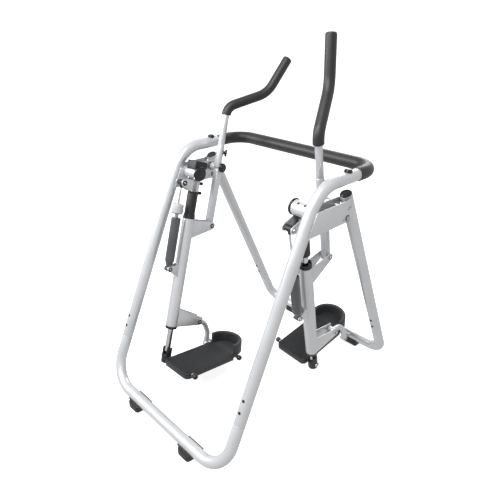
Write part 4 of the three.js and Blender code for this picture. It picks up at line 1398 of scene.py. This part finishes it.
@dataclass
class Step(SideParts):
    """The pedal with its toe cup, tread and two pins."""

    body: ClassVar[str] = "{}_step"
    frame_of: ClassVar[FrameOf] = Layout.step
    inner: float = 212.8
    outer: float = 29.0
    back: float = 35.0
    reach: float = 280.0
    front: float = 365.0
    rear_corner: float = 22.0
    top: float = 11.0
    depth: float = 28.5
    toe_inset: float = 16.0
    toe_flange: float = 9.0
    toe_steps: int = 36
    cup_wall: float = 18.0
    cup_height: float = 53.0
    cup_root: float = 6.0
    cup_back: float = 262.0
    stud_pitch: float = 7.0
    stud_height: float = 1.3
    stud_root: float = 0.6
    stud_foot: float = 0.48
    stud_tip: float = 0.3
    stud_margin: float = 7.0
    cup_margin: float = 5.0
    knob_radius: float = 13.5
    knob_out: float = 19.0
    knob_mouth: Pair = (13.2, 7.6)
    knob_turn: Pair = (172.0, 37.0)
    rear_pin: Pair = (7.0, 23.8)
    front_pin: Pair = (6.0, 14.3)
    nut_radius: float = 12.5
    nut_height: float = 5.0
    pin_root: float = 6.0
    pin_proud: float = 2.0
    collar_step: float = 3.5
    collar_height: float = 4.5

    @property
    def toe(self) -> tuple[float, float, float]:
        """Middle, forward place and radius of the round toe."""
        radius = (self.inner - self.outer) / 2
        return -(self.inner + self.outer) / 2, self.front - radius, radius

    def outline(self, inset: float) -> list[Point]:
        """Gives the pedal's outline.

        Args:
            inset: How far it is pulled in.

        Returns:
            The points, with rounded rear corners and the round toe.
        """
        middle, forward, radius = self.toe
        left, right, back = middle - radius + inset, middle + radius - inset, inset - self.back
        corner = max(self.rear_corner - inset, 2)
        sides = [(right, forward, 0), (left, forward, 0), (left, back, corner), (right, back, corner)]
        toe = arc((middle, forward), radius - inset, 0, 180, self.toe_steps)
        return [*filleted(sides, 0, True)[2:], *toe]

    def build(self) -> None:
        """Builds the pedal and its pins."""
        self.board()
        self.cup()
        self.studs()
        self.pins()

    def board(self) -> None:
        """The moulded board: deep under the sole, thin at the toe's flange."""
        bottom, top = self.top - self.depth, self.top
        middle, _, radius = self.toe
        left, right = middle - radius, middle + radius
        rear = [
            (left, -self.back, self.rear_corner), (right, -self.back, self.rear_corner),
            (right, self.cup_back, 4), (left, self.cup_back, 4),
        ]
        solid = Solid().prism(rear, bottom, top, edge=3.0, segments=4)
        solid.prism(self.outline(self.toe_inset), bottom, top - 1, edge=2.5)
        solid.prism(self.outline(0), top - self.toe_flange, top, edge=2.5, segments=3)
        self.show(solid, "pedal_board", TREAD, "pedal")

    def cup(self) -> None:
        """The thick rounded wall round the toe."""
        middle, forward, radius = self.toe
        thin = radius - self.cup_wall
        wall: list[Point] = []
        for wide, start, end in ((radius, 0, 180), (thin, 180, 0)):
            curve = arc((middle, forward), wide, start, end, self.toe_steps)
            wall += [(curve[0][0], self.cup_back), *curve, (curve[-1][0], self.cup_back)]
        low, high = self.top - self.cup_root, self.top + self.cup_height
        solid = Solid().prism(wall, low, high, edge=7.5, segments=6)
        self.show(solid, "toe_cup", TREAD)

    def has_stud(self, off: float, y: float) -> bool:
        """Says whether a stud stands on the footbed inside its rim.

        Args:
            off: Distance from the pedal's middle line.
            y: Its forward place.

        Returns:
            True where it does.
        """
        _, forward, radius = self.toe
        rim = self.cup_wall + self.cup_margin if y > self.cup_back - self.cup_root else self.stud_margin
        if y < self.rear_corner - self.back and off > radius - self.rear_corner:
            return False
        return (off if y < forward else math.hypot(off, y - forward)) < radius - rim

    def studs(self) -> None:
        """Rows of small flat-topped studs over the footbed, each row half a step beside the last."""
        middle, _, radius = self.toe
        pitch = self.stud_pitch
        half = int(radius / pitch)
        part = bmesh.new()
        for row in range(int((self.front + self.back) / pitch)):
            y = -self.back + self.stud_margin + row * pitch
            for column in range(-half, half + 1):
                x = middle + (column + 0.5 * (row % 2)) * pitch
                if not self.has_stud(abs(x - middle), y):
                    continue
                bmesh.ops.create_cone(
                    part,
                    cap_ends=True,
                    segments=4,
                    radius1=pitch * self.stud_foot,
                    radius2=pitch * self.stud_tip,
                    depth=self.stud_height + self.stud_root,
                    matrix=shifted(x, y, self.top + (self.stud_height - self.stud_root) / 2),
                )
        self.show(Solid().take(part, Matrix()), "pedal_studs", TREAD)

    def pins(self) -> None:
        """The two cross pins, each with a ball knob inside and a nut outside."""
        middle = -self.inner - self.knob_out
        out, mouth = self.knob_mouth
        start, seat = -self.inner - self.collar_height, -self.inner - self.layout.gap
        for which, forward, (radius, face) in (
            ("rear", 0, self.rear_pin),
            ("front", self.reach, self.front_pin),
        ):
            place = shifted(y=forward) @ TO_X
            shaft = Solid().rod(middle + self.pin_root, face + self.pin_proud, radius, place, edge=0.5)
            shaft.rod(start, seat, radius + self.collar_step, place, edge=0.6)
            shaft.hex_nut(self.nut_radius, self.nut_height, place @ shifted(z=face))
            self.show(shaft, f"{which}_pin_shaft", ZINC, f"pin_{which}")
            ball = arc((middle, 0), self.knob_radius, *self.knob_turn, 15)
            knob = Solid().lathe([*ball, (middle + out, mouth)], place, edge=0.0)
            self.show(knob, f"{which}_pin_knob", CAP)


@dataclass
class HandLever(SideParts):
    """The lever on its own axle: hub, arm, socket, bent handle, grip and clamp knob."""

    body: ClassVar[str] = "{}_hand_lever"
    frame_of: ClassVar[FrameOf] = Layout.lever
    hub_radius: float = 18.0
    hub_span: Pair = (-24.0, 50.0)
    ring_width: float = 6.0
    ring_radii: Pair = (18.2, 19.2)
    arm_half: float = 15.0
    arm_span: Pair = (-300.4, -8.0)
    socket: Pair = (-4.0, -10.0)
    socket_radius: float = 17.0
    socket_top: float = 105.0
    handle_radius: float = 15.0
    handle_start: float = 20.0
    knee: float = 281.0
    bends: Pair = (60.0, 130.0)
    middle: tuple[float, float, float] = (-77.0, 167.0, 104.0)
    tip: tuple[float, float, float] = (-32.0, 59.0, 169.0)
    grip_radius: float = 22.0
    grip_lead: float = 3.0
    grip_end: float = 7.0
    knob_rise: float = 71.0
    knob_turn: float = 35.0
    knob_neck: Pair = (7.0, 8.0)
    knob_disc: Pair = (15.0, 17.0)
    knob_edges: Pair = (1.5, 2.5)
    cap_lip: float = 4.0
    cap_thickness: float = 14.5

    def build(self) -> None:
        """Builds the lever's pieces."""
        self.arm()
        self.handle()
        self.knob()
        self.cap()

    def arm(self) -> None:
        """The hub with the square arm below it and the socket above it."""
        low, high = self.hub_span
        solid = Solid().rod(low, high, self.hub_radius, TO_X, edge=1.2)
        half = self.arm_half
        solid.prism(box_outline(-half, half, -half, half), *self.arm_span, edge=0.6, corner=3)
        solid.rod(0, self.socket_top, self.socket_radius, shifted(*self.socket), edge=1.0)
        self.show(solid, "lever_arm", SILVER, "lever")
        profile = ring_profile(high - self.ring_width, high, *self.ring_radii)
        self.show(Solid().lathe(profile, TO_X, edge=0.4, ring=True), "lever_hub_ring", PLASTIC)

    def handle(self) -> None:
        """The bent tube and the foam grip over its upper part."""
        base = Vector((*self.socket, self.handle_start))
        knee = Vector((*self.socket, self.knee))
        middle = knee + Vector(self.middle)
        tip = middle + Vector(self.tip)
        tube = Solid().tube([base, knee, middle, tip], self.bends, self.handle_radius)
        self.show(tube, "bent_handle", SILVER, "handle_tube")
        bent = self.bends[0] * math.tan((knee - base).angle(middle - knee) / 2)
        start = knee - Vector((0, 0, bent + self.grip_lead))
        end = tip + (tip - middle).normalized() * self.grip_end
        path = [start, knee, middle, end]
        grip = Solid().tube(path, self.bends, self.grip_radius, end_edge=9.0, end_steps=6)
        grip = self.show(grip, "foam_grip", FOAM, "grip")

    def knob(self) -> None:
        """The slim knob that clamps the handle in its socket."""
        turn = Matrix.Rotation(math.radians(self.knob_turn), 4, "Z")
        place = shifted(*self.socket, self.knob_rise) @ turn @ TO_Y
        face = self.socket_radius + self.layout.gap
        (neck, slim), (end, wide), (low, high) = self.knob_neck, self.knob_disc, self.knob_edges
        profile = [(face, slim), (face + neck, slim), (face + neck, wide, low), (face + end, wide, high)]
        self.show(Solid().lathe(profile, place, edge=0.6), "clamp_knob", CAP, "handle_knob")

    def cap(self) -> None:
        """The domed cap on the inner end of the hub."""
        place = shifted(self.hub_span[0]) @ TO_X @ TO_DOWN
        dome = scaled(DOME_SHAPE, self.cap_thickness, self.hub_radius + self.cap_lip)
        self.show(Solid().lathe(dome, place, edge=2.5), "hub_dome", CAP, "hub_cap")


# Floor, light and camera


@dataclass
class Studio:
    """The pale floor, the soft lights and the camera, in metres."""

    camera_place: tuple[float, float, float] = (1.39539, -1.37623, 1.65717)
    camera_yaw: float = 45.78
    camera_pitch: float = 26.2
    focal_px: float = 479.31
    frame_px: float = 500.0
    sensor: float = 36.0
    world_glow: float = 0.74
    floor_radius: float = 7.0
    floor_curve: float = 2.5
    wall_height: float = 6.0
    floor_glow: float = 0.7
    light_aim: tuple[float, float, float] = (0.0, 0.0, 0.7)
    # Each light: name, place, edge length and power in watts.
    lights: ClassVar[tuple] = (
        ("top", (0.2, -1.9, 3.5), 2.0, 120),
        ("key", (-2.4, -2.7, 2.6), 1.3, 98),
        ("rim", (-1.2, 3.0, 2.4), 1.3, 35),
    )

    def build(self) -> None:
        """Builds floor, lights and camera."""
        scene = bpy.context.scene
        scene.view_settings.view_transform = "Standard"
        scene.world = bpy.data.worlds.new("studio")
        scene.world.use_nodes = True
        glow = scene.world.node_tree.nodes["Background"]
        glow.inputs["Color"].default_value = linear("#ffffff")
        glow.inputs["Strength"].default_value = self.world_glow
        self.floor()
        for name, place, size, power in self.lights:
            self.light(name, place, size, power)
        camera = bpy.data.cameras.new("camera")
        camera.sensor_width = self.sensor
        camera.lens = self.focal_px / self.frame_px * self.sensor
        placed = bpy.data.objects.new("camera", camera)
        placed.location = self.camera_place
        placed.rotation_euler = (math.radians(90 - self.camera_pitch), 0, math.radians(self.camera_yaw))
        scene.collection.objects.link(placed)
        scene.camera = placed

    def floor(self) -> None:
        """A wide pale floor that curves up into a backdrop all round.

        It glows a little, so that it stays white in the picture, and it lights nothing else.
        """
        profile = [(0, 0), (0, self.floor_radius, self.floor_curve), (self.wall_height, self.floor_radius)]
        part = turned_shell(filleted(profile, 0, steps=12), steps=64)
        bmesh.ops.recalc_face_normals(part, faces=part.faces)
        mesh = bpy.data.meshes.new("floor")
        part.to_mesh(mesh)
        part.free()
        for face in mesh.polygons:
            face.use_smooth = True
        material = bpy.data.materials.new("pale_floor")
        material.use_nodes = True
        shader = material.node_tree.nodes["Principled BSDF"]
        for socket, value in {
            "Base Color": linear("#e6e6e6"),
            "Roughness": 0.9,
            "Specular IOR Level": 0.1,
            "Emission Color": linear("#ffffff"),
            "Emission Strength": self.floor_glow,
        }.items():
            shader.inputs[socket].default_value = value
        mesh.materials.append(material)
        placed = bpy.data.objects.new("floor", mesh)
        placed.visible_diffuse = False
        placed.visible_glossy = False
        bpy.context.scene.collection.objects.link(placed)

    def light(self, name: str, place: Point, size: float, power: float) -> None:
        """A soft square light aimed at the middle of the machine.

        Args:
            name: Its name.
            place: Where it stands, in metres.
            size: Its edge, in metres.
            power: Its power, in watts.
        """
        lamp = bpy.data.lights.new(name, "AREA")
        lamp.size = size
        lamp.energy = power
        placed = bpy.data.objects.new(name, lamp)
        placed.location = place
        aim = Vector(self.light_aim) - Vector(place)
        placed.rotation_euler = aim.to_track_quat("-Z", "Y").to_euler()
        bpy.context.scene.collection.objects.link(placed)


def main() -> None:
    """Builds the dressed walker and the studio."""
    logging.basicConfig(level=logging.INFO, format="%(name)s %(message)s")
    layout = Layout()
    FloorHoops(layout).build()
    SideFrame.both(layout)
    rear = {"width": 76, "depth": 72, "height": 33, "centre": 190, "forward": 0, "rim": 4, "corner": 16}
    front = {"width": 80, "depth": 54, "height": 36, "centre": 220, "forward": layout.front_bar}
    Foot.both(layout, kind="rear_foot", carrier="frame", **rear)
    Foot.both(layout, kind="front_foot", carrier="front_frame", **front)
    Bracket.both(layout)
    Crossbar(layout).build()
    Leg.both(layout)
    Counter(layout, Side.LEFT).build()
    Slide.both(layout)
    Step.both(layout)
    HandLever.both(layout)
    Studio().build()


if __name__ == "__main__":
    main()
